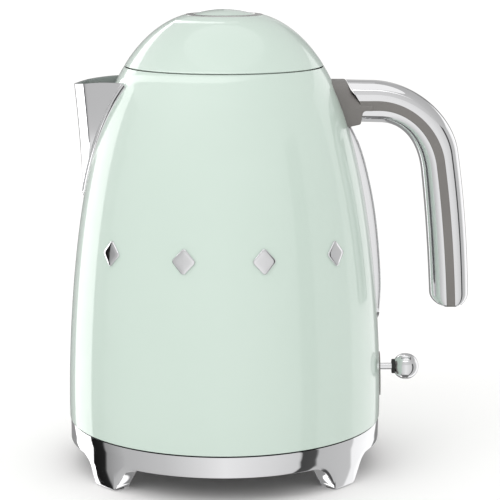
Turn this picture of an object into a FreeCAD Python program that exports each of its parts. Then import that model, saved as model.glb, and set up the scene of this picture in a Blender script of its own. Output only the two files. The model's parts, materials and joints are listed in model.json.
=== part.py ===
import FreeCAD, Part
import math
import os
from FreeCAD import Rotation, Vector

# Cordless kettle on a round power base, in millimetres.
# Origin on the body's axis at the worktop, +Z up, handle on +X, spout on -X.

os.makedirs("parts", exist_ok=True)

X, Y, Z = Vector(1, 0, 0), Vector(0, 1, 0), Vector(0, 0, 1)
FAR = 300.0

# ---------------------------------------------------------------- driving dimensions
# Power base
base_radius = 85.5
base_top_z = 25.5
skirt_edge_z = 14.3
skirt_wall = 1.5
skirt_lip = 3.0
foot_azimuths = (41.5, 138.5, 221.5, 318.5)
foot_tip_half_width = 8.8
foot_root_half_width = 23.0
foot_depth = 11.0
foot_bottom_z = 0.6
pad_depth = 1.8
pad_inset = 2.0
deck_thickness = 2.0
cover_thickness = 2.0

# Body
body_wall = 1.0
seat_gap = 0.6
body_foot_radius = 85.9
body_foot_pull = (86.6, 34.6)
body_shoulder_pull = (86.5, 166.0)
mouth_radius = 53.7
seam_z = 219.5
seam_gap = 0.5

# Lid and button
lid_wall = 1.2
dome_lead = 15.2
dome_crown_pull = (mouth_radius - 19.4, seam_z + 23.5)
ring_outer_radius = 20.9
ring_inner_radius = 17.2
dome_rise = 27.1
dome_top_z = seam_z + dome_rise
ring_proud = 0.5
cap_gap = 0.3
cap_proud = 2.8
cap_crown_z = dome_top_z + cap_proud
cap_wall = 1.6
cap_skirt = 6.0
button_travel = 3.0
button_stem_radius = 3.0

# Lid hinge and latch
hinge_x = mouth_radius - 4.7
hinge_z = seam_z + 0.5
hinge_pin_radius = 1.0
hinge_barrel_radius = 1.8
hinge_half_width = 6.5
lid_knuckle_half_width = 3.2
knuckle_gap = 0.4
collar_bore_radius = mouth_radius - 5.4
collar_wall = 2.0
collar_bottom_z = seam_z - 13.5
collar_flange = 1.6
plug_gap = 1.8
plug_radius = collar_bore_radius - plug_gap
plug_bottom_z = collar_bottom_z + 2.0
plug_wall = 2.0
seal_z = collar_bottom_z + 4.0
seal_height = 2.4
latch_z = collar_bottom_z + 7.0
latch_height = 3.0
latch_half_width = 4.0
latch_bite = 2.0
latch_tail_x = 14.0

# Heater and control
lever_z = 51.8
plate_over_lever = 9.7
heater_plate_z = lever_z + plate_over_lever
heater_plate_thickness = 1.2
heater_rim_height = 5.0
spreader_thickness = 3.0
element_ring_radius = 46.0
element_radius = 3.3
element_gap_angle = 35.0
control_radius = 27.0
control_wall = 2.0
socket_gap = 0.5

# Connector
hub_radius = 22.0
well_inner_radius = 8.0
well_outer_radius = 13.0
pillar_radius = 5.0
pillar_top_z = 34.0

# Switch
lever_pivot_x = 62.0
lever_travel_angle = 14.0
lever_stem_radius = 1.85
ball_radius = 7.25
ball_x = 100.6
neck_radius = 4.0
switch_plate_low_z = lever_z - 16.4
switch_plate_high_z = lever_z + 8.3
switch_plate_half_width = 6.0

# Steam tube
steam_tube_azimuth = 35.0
steam_tube_ring_radius = 55.5
steam_tube_radius = 5.0
steam_tube_top_z = seam_z - 19.5

# Spout and filter
spout_tail_z = 149.5
spout_lip_z = 212.0
spout_tip_x = -80.9
spout_tip_z = 209.5
spout_tail_x = -76.9
spout_sheet = 1.2
flange_half_width = 28.3
flange_tail_half_width = 4.0
flange_border = 2.4
filter_half_width = 20.0
filter_low_z = 160.0
filter_high_z = 203.0
filter_x = -56.5
filter_thickness = 3.0

# Water window
window_low_z = 79.8
window_high_z = 189.0
window_half_width = 9.5
lens_half_width = 5.5
lens_low_z = 92.0
lens_high_z = 183.0

# Handle
grip_half_width = 11.5
frame_proud = 0.4
grip_end_z = 87.4
grip_corner = 7.0
bracket_top_z = 211.6
bracket_half_width = 12.5

# Trims on the front
trim_azimuths = (-47.0, -15.0, 14.6, 46.0)
trim_z = 126.5
trim_height = 14.5
trim_width = 13.0
trim_proud = 1.2


# ---------------------------------------------------------------- helpers
def save(name, *solids):
    """Write one named sub-part made of one or more closed solids."""
    shape = solids[0] if len(solids) == 1 else Part.makeCompound(list(solids))
    shape.exportStep(f"parts/{name}.step")


def rod(radius, z_low, z_high, x=0.0, y=0.0):
    return Part.makeCylinder(radius, z_high - z_low, Vector(x, y, z_low), Z)


def tube(outer, inner, z_low, z_high, x=0.0, y=0.0):
    return rod(outer, z_low, z_high, x, y).cut(rod(inner, z_low - 1, z_high + 1, x, y))


def bar(radius, start, end):
    """A round bar between two points."""
    run = end - start
    return Part.makeCylinder(radius, run.Length, start, run)


def block(x_low, x_high, y_low, y_high, z_low, z_high):
    size = (x_high - x_low, y_high - y_low, z_high - z_low)
    return Part.makeBox(*size, Vector(x_low, y_low, z_low))


def slab(z_low, z_high):
    return block(-FAR, FAR, -FAR, FAR, z_low, z_high)


def turned(shape, azimuth):
    """The shape turned about the kettle's axis."""
    copy = shape.copy()
    copy.rotate(Vector(), Z, azimuth)
    return copy


def fused(shapes):
    first, *others = shapes
    return first.multiFuse(others).removeSplitter() if others else first


def rounded_wire(points, radii, place):
    """A closed polygon whose corners are arcs; place(u, v) gives the 3-D point."""
    count = len(points)
    arcs = []
    for i, (u, v) in enumerate(points):
        here = Vector(u, v, 0)
        if radii[i] == 0:
            arcs.append((here, here, here))
            continue
        before = Vector(*points[i - 1], 0)
        after = Vector(*points[(i + 1) % count], 0)
        back = (before - here).normalize()
        ahead = (after - here).normalize()
        half = back.getAngle(ahead) / 2
        reach = radii[i] / math.tan(half)
        centre = here + (back + ahead).normalize() * (radii[i] / math.sin(half))
        middle = centre + (here - centre).normalize() * radii[i]
        arcs.append((here + back * reach, middle, here + ahead * reach))
    flat = [[place(p.x, p.y) for p in arc] for arc in arcs]
    edges = []
    for i, (start, middle, end) in enumerate(flat):
        if radii[i] > 0:
            edges.append(Part.Arc(start, middle, end).toShape())
        following = flat[(i + 1) % count][0]
        if (following - end).Length > 1e-6:
            edges.append(Part.makeLine(end, following))
    return Part.Wire(edges)


def side(u, v):
    """A point of the XZ plane."""
    return Vector(u, 0, v)


def front(u, v):
    """A point of the YZ plane."""
    return Vector(0, u, v)


def along_y(wire, half_width):
    """An XZ outline as a solid, half_width to each side of the middle plane."""
    face = Part.Face(wire)
    face.translate(Y * -half_width)
    return face.extrude(Y * 2 * half_width)


def along_x(wire, x_low, x_high):
    """A YZ outline as a solid between two places along X."""
    face = Part.Face(wire)
    face.translate(X * x_low)
    return face.extrude(X * (x_high - x_low))


def lathe(points):
    """A solid turned about the kettle's axis from an (r, z) polygon."""
    corners = [side(r, z) for r, z in points]
    face = Part.Face(Part.makePolygon(corners + corners[:1]))
    return face.revolve(Vector(), Z, 360)


def bezier(*points):
    curve = Part.BezierCurve()
    curve.setPoles([side(u, v) for u, v in points])
    return curve.toShape()


# ---------------------------------------------------------------- outline of body and lid
body_bottom_z = base_top_z + seat_gap
body_curve = Part.BezierCurve()
body_curve.setPoles([
    side(body_foot_radius, base_top_z),
    side(*body_foot_pull),
    side(*body_shoulder_pull),
    side(mouth_radius, seam_z),
])
shoulder_slope = (side(mouth_radius, seam_z) - side(*body_shoulder_pull)).normalize()
dome_curve = Part.BezierCurve()
dome_curve.setPoles([
    side(mouth_radius, seam_z),
    side(mouth_radius, seam_z) + shoulder_slope * dome_lead,
    side(*dome_crown_pull),
    side(ring_outer_radius, dome_top_z),
])


def offset_points(curve, count, offset, first=0):
    """Points beside a curve, offset outward from the kettle's axis."""
    points = []
    for i in range(first, count + 1):
        t = i / count
        tangent = curve.tangent(t)[0]
        points.append(curve.value(t) + Vector(tangent.z, 0, -tangent.x) * offset)
    return points


def outline_solid(offset=0.0):
    """Everything inside the outer surface of body and lid, grown by offset."""
    points = offset_points(body_curve, 16, offset) + offset_points(dome_curve, 8, offset, 1)
    skin = Part.BSplineCurve()
    skin.interpolate(points)
    low = Vector(0, 0, points[0].z)
    high = Vector(0, 0, points[-1].z)
    rest = Part.makePolygon([points[-1], high, low, points[0]])
    face = Part.Face(Part.Wire([skin.toShape()] + rest.Edges))
    return face.revolve(Vector(), Z, 360)


def body_radius(z, offset=0.0):
    """Radius of the body's outline at a height."""
    low, high = 0.0, 1.0
    for _ in range(40):
        t = (low + high) / 2
        tangent = body_curve.tangent(t)[0]
        point = body_curve.value(t) + Vector(tangent.z, 0, -tangent.x) * offset
        low, high = (t, high) if point.z < z else (low, t)
    return point.x


outer_form = outline_solid()
inner_form = outline_solid(-body_wall)
lid_form = outline_solid(-lid_wall)


def skin_layer(outside, inside):
    """A layer that follows the body, between two offsets of its outer surface."""
    return outline_solid(outside).cut(outline_solid(inside))


# ---------------------------------------------------------------- lid hinge geometry
hinge_point = side(hinge_x, hinge_z)
rim_clearance = 0.4
lid_rim_z = seam_z + seam_gap / 2
body_rim_z = seam_z - seam_gap / 2


def hinge_trough():
    """The lens-shaped space that the lid's back rim sweeps as it turns on the hinge."""
    radius = mouth_radius + rim_clearance
    reach = math.sqrt(radius ** 2 - hinge_x ** 2)
    ends = [Vector(hinge_x, -reach, hinge_z), Vector(hinge_x, reach, hinge_z)]
    arc = Part.Arc(ends[0], Vector(radius, 0, hinge_z), ends[1]).toShape()
    face = Part.Face(Part.Wire([arc, Part.makeLine(ends[1], ends[0])]))
    return face.revolve(hinge_point, Y, 360)


def hinge_bar(radius, y_low, y_high):
    return bar(radius, Vector(hinge_x, y_low, hinge_z), Vector(hinge_x, y_high, hinge_z))


# ---------------------------------------------------------------- power base
foot_root_z = skirt_edge_z
deck_z = base_top_z - 1.2 - deck_thickness
cover_z = skirt_edge_z
gland_z = 19.9
gland_radius = 4.6
gland_bore = 3.4
gland_flange = 6.2
fixing_radius = 76.0
base_screw_azimuths = (0.0, 90.0 - 22.0, 180.0, 270.0)


def foot_blank():
    """One foot as a flared block across the +X axis, before it is trimmed round."""
    tip, root = foot_tip_half_width, foot_root_half_width
    flare = [(tip, 0), (tip + 4.2, 6.5), (tip + 6.7, foot_root_z), (root, foot_root_z)]
    sides = []
    for sign in (1, -1):
        curve = Part.BezierCurve()
        curve.setPoles([front(sign * u, v) for u, v in flare])
        sides.append(curve.toShape())
    top_z = foot_root_z + 1.0
    corners = [front(root, foot_root_z), front(root, top_z), front(-root, top_z)]
    top = Part.makePolygon(corners + [front(-root, foot_root_z)])
    sole = Part.makeLine(front(-tip, 0), front(tip, 0))
    return along_x(Part.Wire([sole, sides[0]] + top.Edges + [sides[1]]), 0, FAR)


def foot_pad_blank(grow, z_low, z_high):
    half_width = foot_tip_half_width - pad_inset + grow
    outer = base_radius - pad_inset + grow
    inner = base_radius - foot_depth + pad_inset - grow
    return block(inner, outer, -half_width, half_width, z_low, z_high)


def base_skirt():
    band = tube(base_radius, base_radius - skirt_wall, skirt_edge_z, base_top_z)
    lip = tube(base_radius - 0.5, base_radius - skirt_wall - skirt_lip, base_top_z - 1.2, base_top_z)
    leg_ring = tube(base_radius, base_radius - foot_depth, foot_bottom_z, foot_root_z)
    feet = [leg_ring.common(turned(foot_blank(), a)) for a in foot_azimuths]
    skirt = fused([band, lip] + feet)
    for azimuth in foot_azimuths:
        pocket = foot_pad_blank(0.0, foot_bottom_z - 1, foot_bottom_z + pad_depth)
        skirt = skirt.cut(turned(pocket, azimuth))
    top_edges = [e for e in skirt.Edges if is_circle(e, base_radius, base_top_z)]
    skirt = skirt.makeFillet(0.6, top_edges)
    return skirt.cut(gland_bar(gland_radius))


def gland_bar(radius, depth=12.0, beyond=3.0):
    """A bar through the back of the skirt on the cord bush's axis."""
    start = Vector(0, base_radius - depth, gland_z)
    return bar(radius, start, Vector(0, base_radius + beyond, gland_z))


def is_circle(edge, radius, z):
    if edge.Degenerated or not isinstance(edge.Curve, Part.Circle):
        return False
    circle = edge.Curve
    return abs(circle.Radius - radius) < 1e-4 and abs(circle.Center.z - z) < 1e-4


def rubber_pads():
    pad = foot_pad_blank(-0.1, 0, foot_bottom_z + pad_depth)
    upright = [e for e in pad.Edges if abs(e.tangentAt(0).z) > 0.9]
    pad = pad.makeFillet(2.0, upright)
    return [turned(pad, azimuth) for azimuth in foot_azimuths]


hub_foot_z = cover_z + cover_thickness + 0.3
hub_top_z = base_top_z + 1.5
well_floor_z = hub_foot_z + 2.0
pillar_fit = 0.05


def base_deck():
    deck = rod(base_radius - skirt_wall - 0.1, deck_z, deck_z + deck_thickness)
    rim = tube(hub_radius + 6, hub_radius + 4, deck_z, deck_z + deck_thickness + 0.8)
    deck = deck.fuse(rim)
    bosses = [turned(screw_post(), a) for a in base_screw_azimuths]
    deck = fused([deck] + bosses).cut(rod(hub_radius + 0.2, deck_z - 1, base_top_z + 1))
    return deck.cut(gland_bar(gland_radius + 0.1))


def screw_post():
    low = cover_z + cover_thickness
    post = rod(3.2, low, deck_z, fixing_radius)
    return post.cut(rod(1.5, low, deck_z, fixing_radius))


def base_bottom_cover():
    """The floor of the base, with the drum that spare cord winds onto."""
    floor = rod(base_radius - skirt_wall - 0.1, cover_z, cover_z + cover_thickness)
    drum = tube(42.0, 40.0, 6.0, cover_z)
    flange = tube(50.0, 40.0, 4.4, 6.0)
    cover = fused([floor, drum, flange])
    for azimuth in base_screw_azimuths:
        cover = cover.cut(turned(rod(1.7, cover_z, FAR, fixing_radius), azimuth))
        cover = cover.cut(turned(rod(3.2, cover_z - 1, cover_z + 0.8, fixing_radius), azimuth))
    for azimuth in foot_azimuths:
        root = base_radius - foot_depth - 0.2
        seat = tube(FAR, root, cover_z - 1, foot_root_z + 1).common(turned(foot_blank(), azimuth))
        cover = cover.cut(seat)
    return cover.cut(gland_bar(gland_radius + 0.1))


def base_screws():
    head = rod(2.9, cover_z + 0.8 - 1.4, cover_z + 0.8, fixing_radius)
    shank = rod(1.45, cover_z + 0.8, deck_z - 0.5, fixing_radius)
    return [turned(head.fuse(shank), azimuth) for azimuth in base_screw_azimuths]


def connector_housing():
    """The fixed half of the turning connector: a hub with a ring well and a centre bore."""
    hub = rod(hub_radius, hub_foot_z, hub_top_z)
    flange = rod(hub_radius + 4, deck_z - 2.0, deck_z)
    well = tube(well_outer_radius, well_inner_radius, well_floor_z, FAR)
    bore = rod(pillar_radius + pillar_fit, hub_foot_z + 1.0, FAR)
    return fused([hub, flange]).cut(well).cut(bore).cut(contact_groove())


def contact_groove():
    return tube(well_outer_radius + 1.2, well_outer_radius, well_floor_z + 2.0, well_floor_z + 5.0)


def base_contacts():
    """The ring contact in the outer wall of the well."""
    return contact_groove()


def connector_pillar():
    body = rod(pillar_radius, hub_foot_z + 1.1, pillar_top_z)
    top = [e for e in body.Edges if is_circle(e, pillar_radius, pillar_top_z)]
    return body.makeFillet(1.2, top).cut(rod(2.0, hub_foot_z + 1.0, FAR))


def pillar_pin():
    return rod(2.0, hub_foot_z + 1.1, pillar_top_z + 1.0)


def cord_gland():
    """The rubber bush at the back of the skirt that the supply cord comes out through."""
    neck = gland_bar(gland_radius, 9.0, -0.3)
    collar = gland_bar(gland_flange, 4.5, -2.6).common(slab(cover_z + cover_thickness, deck_z))
    return neck.fuse(collar).cut(gland_bar(gland_bore)).common(rod(base_radius, 0, FAR))


def terminal_block():
    low = cover_z + cover_thickness
    body = block(-13, 13, 44, 56, low, low + 5.0)
    ways = (-8.0, 0.0, 8.0)
    holes = [bar(1.6, Vector(x, 40, low + 2.5), Vector(x, 60, low + 2.5)) for x in ways]
    return body.cut(fused(holes)).cut(fused(terminal_screws()))


def terminal_screws():
    low = cover_z + cover_thickness
    return [rod(1.5, low + 4.2, low + 5.9, x, 50) for x in (-8.0, 0.0, 8.0)]


# ---------------------------------------------------------------- kettle body
def body_shell():
    """The painted body wall, open for the spout, the window, the switch and the fixings."""
    wall = outer_form.cut(inner_form).common(slab(body_bottom_z, body_rim_z))
    wall = wall.cut(hinge_trough())
    wall = wall.cut(spout_opening())
    wall = wall.cut(along_x(stadium(lens_half_width + 0.1, lens_low_z - 0.1, lens_high_z + 0.1), 0, FAR))
    wall = wall.cut(along_x(switch_slot(), 0, FAR))
    return wall.cut(fused(handle_screw_shanks(0.1)))


def spout_opening():
    """The hole behind the spout that water leaves by."""
    top_z = spout_lip_z - 8
    bottom_z = spout_tail_z + 12
    top_half = spout_half_width(top_z) - 5
    bottom_half = spout_half_width(bottom_z) - 2
    corners = [(-bottom_half, bottom_z), (bottom_half, bottom_z), (top_half, top_z), (-top_half, top_z)]
    return along_x(rounded_wire(corners, (3, 3, 4, 4), front), -FAR, 0)


def stadium(half_width, z_low, z_high):
    """A YZ outline with fully rounded ends."""
    corner = half_width - 0.01
    corners = [(-half_width, z_low), (half_width, z_low), (half_width, z_high), (-half_width, z_high)]
    return rounded_wire(corners, (corner,) * 4, front)


def switch_slot():
    """The slot in plate and wall that the lever passes through, over its whole travel."""
    reach = body_radius(lever_z) + 2 - lever_pivot_x
    drop = reach * math.tan(math.radians(lever_travel_angle))
    half_width = lever_stem_radius + 0.8
    return stadium(half_width, lever_z - drop - lever_stem_radius - 1.0, lever_z + lever_stem_radius + 1.0)


def neck_collar():
    """The ring inside the mouth that the lid plugs into, with the hinge lugs."""
    flange_z = body_rim_z - 0.6 - collar_flange
    flange = inner_form.common(slab(flange_z, flange_z + collar_flange))
    sleeve = rod(collar_bore_radius + collar_wall, collar_bottom_z, flange_z + collar_flange)
    ring = flange.fuse(sleeve).cut(rod(collar_bore_radius, collar_bottom_z - 1, FAR))
    slot = block(-FAR, -40, -latch_half_width - 0.4, latch_half_width + 0.4,
                 latch_z - 0.4, latch_z + latch_height + 0.4)
    ring = ring.cut(slot).cut(hinge_trough())
    web_z = collar_bottom_z + 8
    inner = lid_knuckle_half_width + knuckle_gap
    lugs = []
    for low, high in ((-hinge_half_width, -inner), (inner, hinge_half_width)):
        web = block(collar_bore_radius - 0.4, hinge_x - 0.1, low, high, web_z, hinge_z)
        lugs += [web, hinge_bar(hinge_barrel_radius, low, high)]
    ring = fused([ring] + lugs)
    return ring.cut(hinge_bar(hinge_pin_radius, -FAR, FAR))


def hinge_pin():
    return hinge_bar(hinge_pin_radius, -hinge_half_width - 0.5, hinge_half_width + 0.5)


def heating_plate():
    """The steel floor of the water space, welded to the body by its turned-down rim."""
    top_z = heater_plate_z + heater_plate_thickness
    disc = inner_form.common(slab(heater_plate_z, top_z))
    rim = inner_form.cut(outline_solid(-body_wall - heater_plate_thickness))
    rim = rim.common(slab(heater_plate_z - heater_rim_height, top_z))
    return fused([disc, rim]).cut(steam_rod(steam_tube_radius + 1.2))


def steam_rod(radius, z_low=0.0, z_high=FAR):
    return turned(rod(radius, z_low, z_high, steam_tube_ring_radius), steam_tube_azimuth)


def steam_tube():
    """The tube that carries steam down to the cut-out under the heating plate."""
    low = heater_plate_z - 14
    return steam_rod(steam_tube_radius, low, steam_tube_top_z).cut(steam_rod(steam_tube_radius - 1.0))


def steam_tube_seal():
    top_z = heater_plate_z + heater_plate_thickness
    neck = steam_rod(steam_tube_radius + 1.2, heater_plate_z, top_z)
    lips = [steam_rod(steam_tube_radius + 3.0, top_z, top_z + 2.0),
            steam_rod(steam_tube_radius + 2.2, heater_plate_z - 1.8, heater_plate_z)]
    return fused([neck] + lips).cut(steam_rod(steam_tube_radius))


spreader_radius = element_ring_radius + element_radius + 0.4
spreader_z = heater_plate_z - spreader_thickness
element_z = spreader_z - element_radius


def heat_spreader():
    return rod(spreader_radius, spreader_z, heater_plate_z).cut(steam_rod(steam_tube_radius + 2.4))


def heater_element():
    """A sheathed heater bent to a ring, open towards the handle, with two cold ends."""
    sweep = 360 - 2 * element_gap_angle
    ring = Part.makeTorus(element_ring_radius, element_radius, Vector(0, 0, element_z), Z, 0, 360, sweep)
    ring = turned(ring, element_gap_angle)
    ends = []
    for sign in (1, -1):
        end = rod(element_radius, element_z - 12, element_z, element_ring_radius)
        elbow = Part.makeSphere(element_radius, Vector(element_ring_radius, 0, element_z))
        ends += [turned(end, sign * element_gap_angle), turned(elbow, sign * element_gap_angle)]
    return fused([ring] + ends)


def heater_terminals():
    """The connecting blades at the heater's cold ends."""
    blade = block(-0.4, 0.4, -3.0, 3.0, element_z - 19, element_z - 12)
    blade.translate(X * element_ring_radius)
    return [turned(blade, sign * element_gap_angle) for sign in (1, -1)]


socket_flange_z = hub_top_z + 1.0
socket_flange_thickness = 3.0
socket_bore = pillar_radius + 0.6
control_z = socket_flange_z + socket_flange_thickness
control_top_z = spreader_z - 3.0
bimetal_radius = 8.0
control_post_radius = 34.0
control_post_azimuths = (70.0, 180.0, 290.0)


def connector_socket():
    """The kettle's half of the connector: a ring that drops into the well of the hub."""
    cap_z = pillar_top_z + 2.5
    inner = well_inner_radius + socket_gap
    outer = well_outer_radius - socket_gap
    outline = [
        (socket_bore, socket_flange_z), (inner, socket_flange_z), (inner, well_floor_z + 0.6),
        (outer, well_floor_z + 0.6), (outer, socket_flange_z), (hub_radius + 1, socket_flange_z),
        (hub_radius + 1, control_z), (9.0, control_z), (9.0, cap_z + 1.5), (0, cap_z + 1.5),
        (0, cap_z), (socket_bore, cap_z),
    ]
    return lathe(outline).cut(socket_groove(2.2)).cut(socket_groove(6.0))


def socket_groove(height):
    outer = well_outer_radius - socket_gap
    low = well_floor_z + height
    return tube(outer, outer - 1.0, low, low + 2.0)


def socket_contacts():
    """The ring contacts on the socket, and the centre contact over the pillar."""
    cap_z = pillar_top_z + 2.5
    centre = rod(2.5, cap_z - 0.6, cap_z)
    return [socket_groove(2.2), socket_groove(6.0), centre]


def control_housing():
    """The thermostat's case, with three lugs that hang it from the heat spreader."""
    case = tube(control_radius, control_radius - control_wall, control_z, control_top_z)
    floor = tube(control_radius, 9.2, control_z, control_z + control_wall)
    lugs = []
    for azimuth in control_post_azimuths:
        lug = block(control_radius - 1, control_post_radius + 3, -3.5, 3.5, control_top_z - 3, control_top_z)
        lugs.append(turned(lug, azimuth))
    housing = fused([case, floor] + lugs)
    for azimuth in control_post_azimuths:
        housing = housing.cut(turned(rod(1.6, 0, FAR, control_post_radius), azimuth))
    return housing.cut(block(control_radius - 4, control_radius + 2, -5, 5, trip_z - 4, trip_z + 6))


def control_posts():
    """Studs under the heat spreader that carry the control."""
    post = rod(3.0, control_top_z, spreader_z, control_post_radius)
    post = post.cut(rod(1.5, control_top_z, spreader_z - 0.6, control_post_radius))
    return [turned(post, azimuth) for azimuth in control_post_azimuths]


def control_screws():
    head = rod(2.8, control_top_z - 4.6, control_top_z - 3, control_post_radius)
    shank = rod(1.45, control_top_z - 3, spreader_z - 1, control_post_radius)
    return [turned(head.fuse(shank), azimuth) for azimuth in control_post_azimuths]


def bimetal_discs():
    return [rod(bimetal_radius, spreader_z - 0.9, spreader_z - 0.4, x, -8) for x in (-12.0, 8.0)]


# Kettle underside
bottom_cover_z = body_bottom_z + 0.3
bottom_cover_thickness = 2.0
stud_ring_radius = 70.0
stud_azimuths = (90.0, 210.0, 330.0)
cheek_gap = 0.6


def kettle_bottom_cover():
    """The plate that closes the underside, with two cheeks that carry the switch pin."""
    top_z = bottom_cover_z + bottom_cover_thickness
    plate = inner_form.common(slab(bottom_cover_z, top_z))
    plate = plate.cut(rod(hub_radius + 1.3, 0, top_z + 1))
    inner = switch_hub_half_width + cheek_gap
    cheeks = []
    for sign in (1, -1):
        low, high = sorted((sign * inner, sign * (inner + 2)))
        cheeks.append(block(lever_pivot_x - 5, lever_pivot_x + 5, low, high, top_z - 0.5, lever_z + 4))
    cover = fused([plate] + cheeks).cut(pivot_bar(pivot_pin_radius, inner + 3))
    for azimuth in stud_azimuths:
        cover = cover.cut(turned(rod(1.8, 0, FAR, stud_ring_radius), azimuth))
    return cover


def plate_studs():
    """Hexagonal studs welded under the heating plate that the underside is screwed to."""
    studs = []
    low = bottom_cover_z + bottom_cover_thickness
    for azimuth in stud_azimuths:
        corners = [Vector(4 * math.cos(math.radians(a)), 4 * math.sin(math.radians(a)), 0)
                   for a in range(0, 360, 60)]
        stud = Part.Face(Part.makePolygon(corners + corners[:1])).extrude(Z * (heater_plate_z - low))
        stud.translate(Vector(stud_ring_radius, 0, low))
        studs.append(turned(stud.cut(rod(1.6, 0, low + 12, stud_ring_radius)), azimuth))
    return studs


def bottom_cover_screws():
    low = bottom_cover_z
    head = rod(3.2, low - 0.6 + 0.4, low, stud_ring_radius)
    shank = rod(1.55, low, low + bottom_cover_thickness + 9, stud_ring_radius)
    return [turned(head.fuse(shank), azimuth) for azimuth in stud_azimuths]


# ---------------------------------------------------------------- switch
switch_hub_half_width = 4.0
switch_hub_radius = 4.2
pivot_pin_radius = 1.5
pivot_fit = 0.05
inner_arm = 9.0
arm_height = 3.0
trip_pivot_x = 38.0
trip_z = 47.0
trip_finger_x = lever_pivot_x - inner_arm - 1.2


def pivot_bar(radius, half_width, x=None, z=None):
    x = lever_pivot_x if x is None else x
    z = lever_z if z is None else z
    return bar(radius, Vector(x, -half_width, z), Vector(x, half_width, z))


def switch_plate():
    """The thin plate round the switch slot."""
    high = switch_plate_high_z
    plate = along_x(stadium(switch_plate_half_width, switch_plate_low_z, high), 0, FAR)
    plate = skin_layer(0.6, 0).common(plate)
    return plate.cut(along_x(switch_slot(), 0, FAR))


def switch_pivot_pin():
    return pivot_bar(pivot_pin_radius, switch_hub_half_width + cheek_gap + 2)


def switch_rocker():
    """The moulded hub of the switch, with its short inner arm."""
    hub = pivot_bar(switch_hub_radius, switch_hub_half_width)
    arm = block(lever_pivot_x - inner_arm, lever_pivot_x, -2.5, 2.5,
                lever_z - arm_height / 2, lever_z + arm_height / 2)
    rocker = hub.fuse(arm).cut(pivot_bar(pivot_pin_radius + pivot_fit, FAR))
    return rocker.cut(stem_bar())


def stem_bar():
    start = lever_pivot_x + pivot_pin_radius + 0.7
    return bar(lever_stem_radius, Vector(start, 0, lever_z), Vector(ball_x - 3, 0, lever_z))


def lever_stem():
    return stem_bar()


def lever_neck_ring():
    start = ball_x - ball_radius - 0.4
    ring = bar(neck_radius, Vector(start, 0, lever_z), Vector(start + 2.2, 0, lever_z))
    return ring.cut(stem_bar()).cut(ball_blank())


def ball_blank():
    return Part.makeSphere(ball_radius, Vector(ball_x, 0, lever_z))


def lever_ball():
    return ball_blank().cut(stem_bar())


def trip_lever():
    """The arm inside that links the switch to the thermostat's contacts."""
    hub = pivot_bar(3.2, 3.5, trip_pivot_x, trip_z)
    arm = block(14, trip_finger_x, -2.5, 2.5, trip_z - 1.2, trip_z + 1.2)
    finger = block(trip_finger_x - 2, trip_finger_x, -2.5, 2.5, trip_z - 1.2, lever_z + 1)
    lever = fused([hub, arm, finger])
    return lever.cut(pivot_bar(pivot_pin_radius + pivot_fit, FAR, trip_pivot_x, trip_z))


def trip_pin():
    return pivot_bar(pivot_pin_radius, 6.4, trip_pivot_x, trip_z)


def trip_bracket():
    """Two ears on the side of the control that hold the trip lever's pin."""
    ears = []
    for sign in (1, -1):
        low, high = sorted((sign * 4.4, sign * 6.4))
        ear = block(control_radius - 4, trip_pivot_x + 3, low, high, trip_z - 3, trip_z + 3)
        ears.append(ear.cut(rod(control_radius, 0, FAR)))
    return [ear.cut(pivot_bar(pivot_pin_radius, FAR, trip_pivot_x, trip_z)) for ear in ears]


# ---------------------------------------------------------------- spout and filter
def rise(z):
    """How far up the spout a height is, from 0 at the tail to 1 at the lip."""
    return (z - spout_tail_z) / (spout_lip_z - spout_tail_z)


def spout_half_width(z):
    """Half the width of the spout's border on the body."""
    return flange_tail_half_width + (flange_half_width - flange_tail_half_width) * rise(z)


def keel_x(z):
    """The spout's front edge, a line that leans out a little more towards the tip."""
    lean = rise(z)
    return spout_tail_x + (spout_tip_x - spout_tail_x) * (0.55 * lean + 0.45 * lean ** 2)


def spout_section(z, inset):
    """The closed outline of the spout at a height, with a rounded front."""
    half = spout_half_width(z) - flange_border - inset
    root = -math.sqrt(body_radius(min(z, body_rim_z)) ** 2 - half ** 2)
    front_x = keel_x(z) + inset
    depth = root - front_x
    edges = []
    back = [Vector(root + 4, half * s, z) for s in (1, -1)]
    for sign in (1, -1):
        curve = Part.BezierCurve()
        curve.setPoles([
            Vector(root + 4, sign * half, z),
            Vector(root - 0.48 * depth, sign * half * 0.97, z),
            Vector(front_x, sign * half * 0.44, z),
            Vector(front_x, 0, z),
        ])
        edges.append(curve.toShape())
    return Part.Wire([edges[0], edges[1], Part.makeLine(back[1], back[0])])


def spout_form(inset, z_low, z_high):
    steps = 6
    heights = [z_low + (z_high - z_low) * i / steps for i in range(steps + 1)]
    return Part.makeLoft([spout_section(z, inset) for z in heights], True)


def spout_rim_cut():
    """A long cylinder whose top is the gentle crown of the spout's rim."""
    level_x = -58.0
    fall = spout_lip_z - spout_tip_z
    radius = (level_x - spout_tip_x) ** 2 / (2 * fall)
    centre = Vector(level_x, -FAR, spout_lip_z - radius)
    return Part.makeCylinder(radius, 2 * FAR, centre, Y)


def flange_outline(border):
    """The V-shaped YZ outline of the spout's border, border inside its edge."""
    low, high = spout_tail_z, spout_lip_z
    tail = flange_tail_half_width - border
    top = flange_half_width - border
    corners = [(-tail, low + border), (tail, low + border), (top, high), (-top, high)]
    corner = max(tail * 0.8, 0.2)
    return rounded_wire(corners, (corner, corner, 0.6, 0.6), front)


def spout():
    """The folded sheet of the spout with the border that seats on the body."""
    start = spout_tail_z + 1.0
    sheet = spout_form(0, start, spout_lip_z + 1)
    hollow = spout_form(spout_sheet, start + 6, spout_lip_z + 2)
    beak = sheet.cut(hollow).common(spout_rim_cut()).cut(outer_form)
    border = skin_layer(0.9, 0).common(along_x(flange_outline(0), -FAR, 0))
    hole = along_x(flange_outline(flange_border + spout_sheet), -FAR, 0)
    return fused([beak, border.cut(hole)])


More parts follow.
